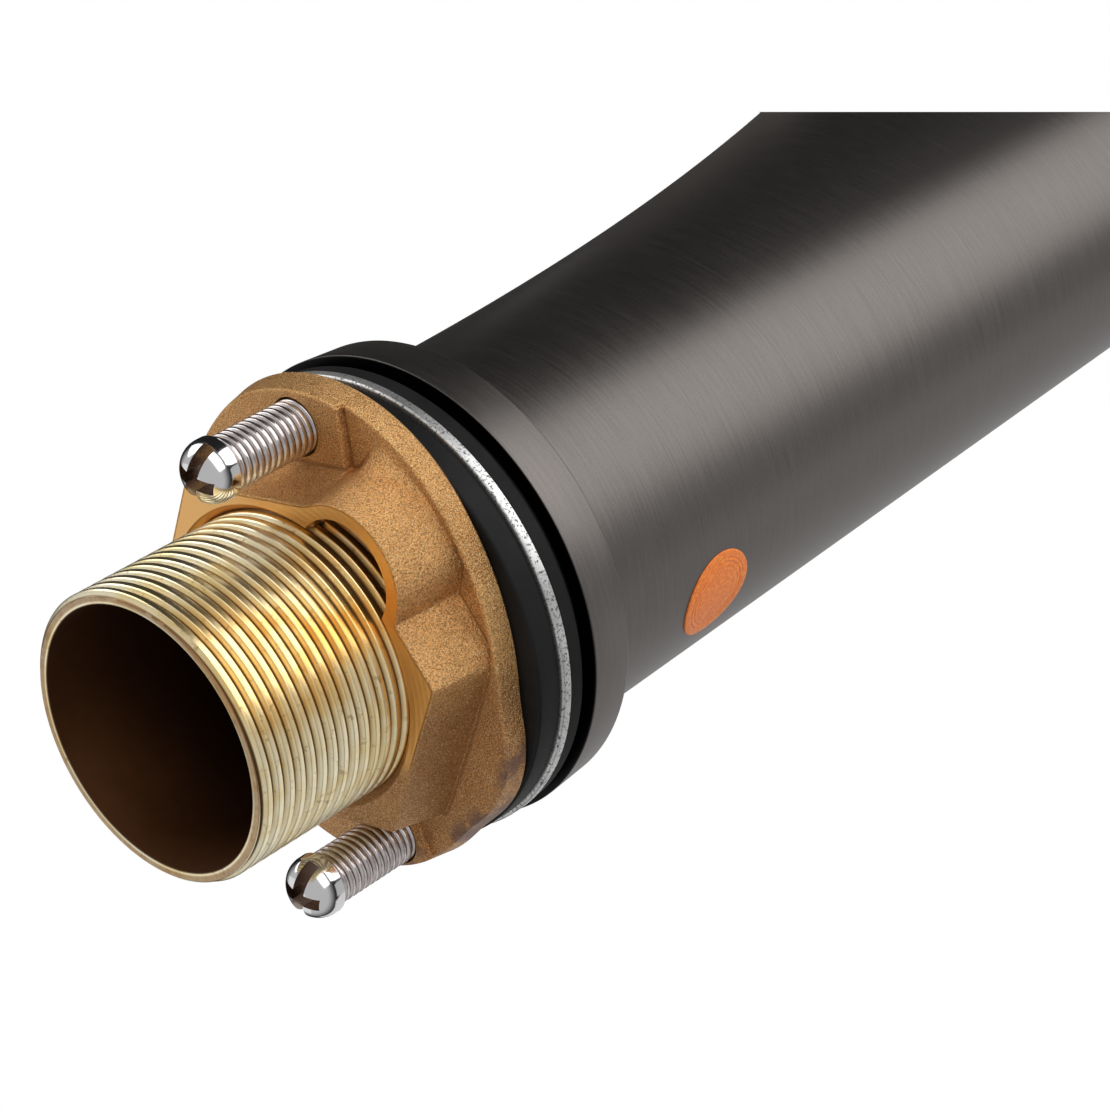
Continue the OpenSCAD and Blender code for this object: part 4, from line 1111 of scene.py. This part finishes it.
# %% Floor
FLOOR_HALF, FLOOR_Z = 1.2, -0.0367
corners = polar(FLOOR_HALF, circle(96), FLOOR_Z).tolist()
pale = Paint("pale_floor", Base_Color=(0.5, 0.5, 0.5), Roughness=0.9, Specular_IOR_Level=0.1)
pale.feed(Emission_Color=(1, 1, 1), Emission_Strength=0.55)
under = pale.node("ShaderNodeNewGeometry", out="Backfacing")
clear = pale.node("ShaderNodeBsdfTransparent")
one_sided = pale.node("ShaderNodeMixShader", {0: under, 1: pale.look, 2: clear})
pale.tree.links.new(one_sided.socket, pale.end.inputs[0])
floor = stage_face("floor", corners, pale)

# %% [markdown]
# The photograph's light is one large soft box on the upper right, a weaker one behind on the
# lower right and a broad glow from the left. The metal shows them as bands, so each lamp is a
# rectangle in a measured direction. The world is white to the camera and a soft glow to the tap.

# %% Lamps and world
def lamp(name, azimuth, elevation, distance, width, height, power):
    """A soft box in a direction from the object, facing it: width is level, height upright."""
    a, e = math.radians(azimuth), math.radians(elevation)
    towards = Vector((math.cos(e) * math.cos(a), math.cos(e) * math.sin(a), math.sin(e)))
    across = Vector((-math.sin(a), math.cos(a), 0))
    light = bpy.data.lights.new(name, "AREA")
    light.shape, light.size, light.size_y, light.energy = "RECTANGLE", width, height, power
    made = placed(name, light)
    made.matrix_world = facing(across, towards.cross(across), towards, towards * distance)
    print("lamp", name)


lamp("key_box", 24, 38, 1.6, 1.4, 1.7, 18)
lamp("rear_box", 152, 40, 1.8, 2.6, 1.6, 9.5)
lamp("left_glow", 215, -38, 1.6, 2.2, 1.8, 4)
lamp("high_box", 0, 88, 1.8, 1.3, 1.3, 5)
lamp("dip_fill", 84, 40, 2.2, 1.6, 1.6, 4)
lamp("side_card", 292, -6, 1.6, 1.3, 1.0, 8)
lamp("low_front", 20, -15, 1.8, 2.4, 1.1, 14)

WHITE = (1, 1, 1, 1)
world = bpy.data.worlds.new("studio")
bpy.context.scene.world = world
world.use_nodes = True
studio = Nodes(world.node_tree)
height = studio.node("ShaderNodeSeparateXYZ", {0: studio.node("ShaderNodeTexCoord", out="Generated")}, 2)
below = height.between(0.30, -0.35, 0.015, 0.55)
glow = studio.node("ShaderNodeBackground", {"Color": WHITE, "Strength": below})
white = studio.node("ShaderNodeBackground", {"Color": WHITE, "Strength": 1.0})
seen = studio.node("ShaderNodeLightPath", out="Is Camera Ray")
choose = studio.node("ShaderNodeMixShader", {0: seen, 1: glow, 2: white})
studio.node("ShaderNodeOutputWorld", {0: choose})
bpy.context.scene.view_settings.view_transform = "Standard"

# %% [markdown]
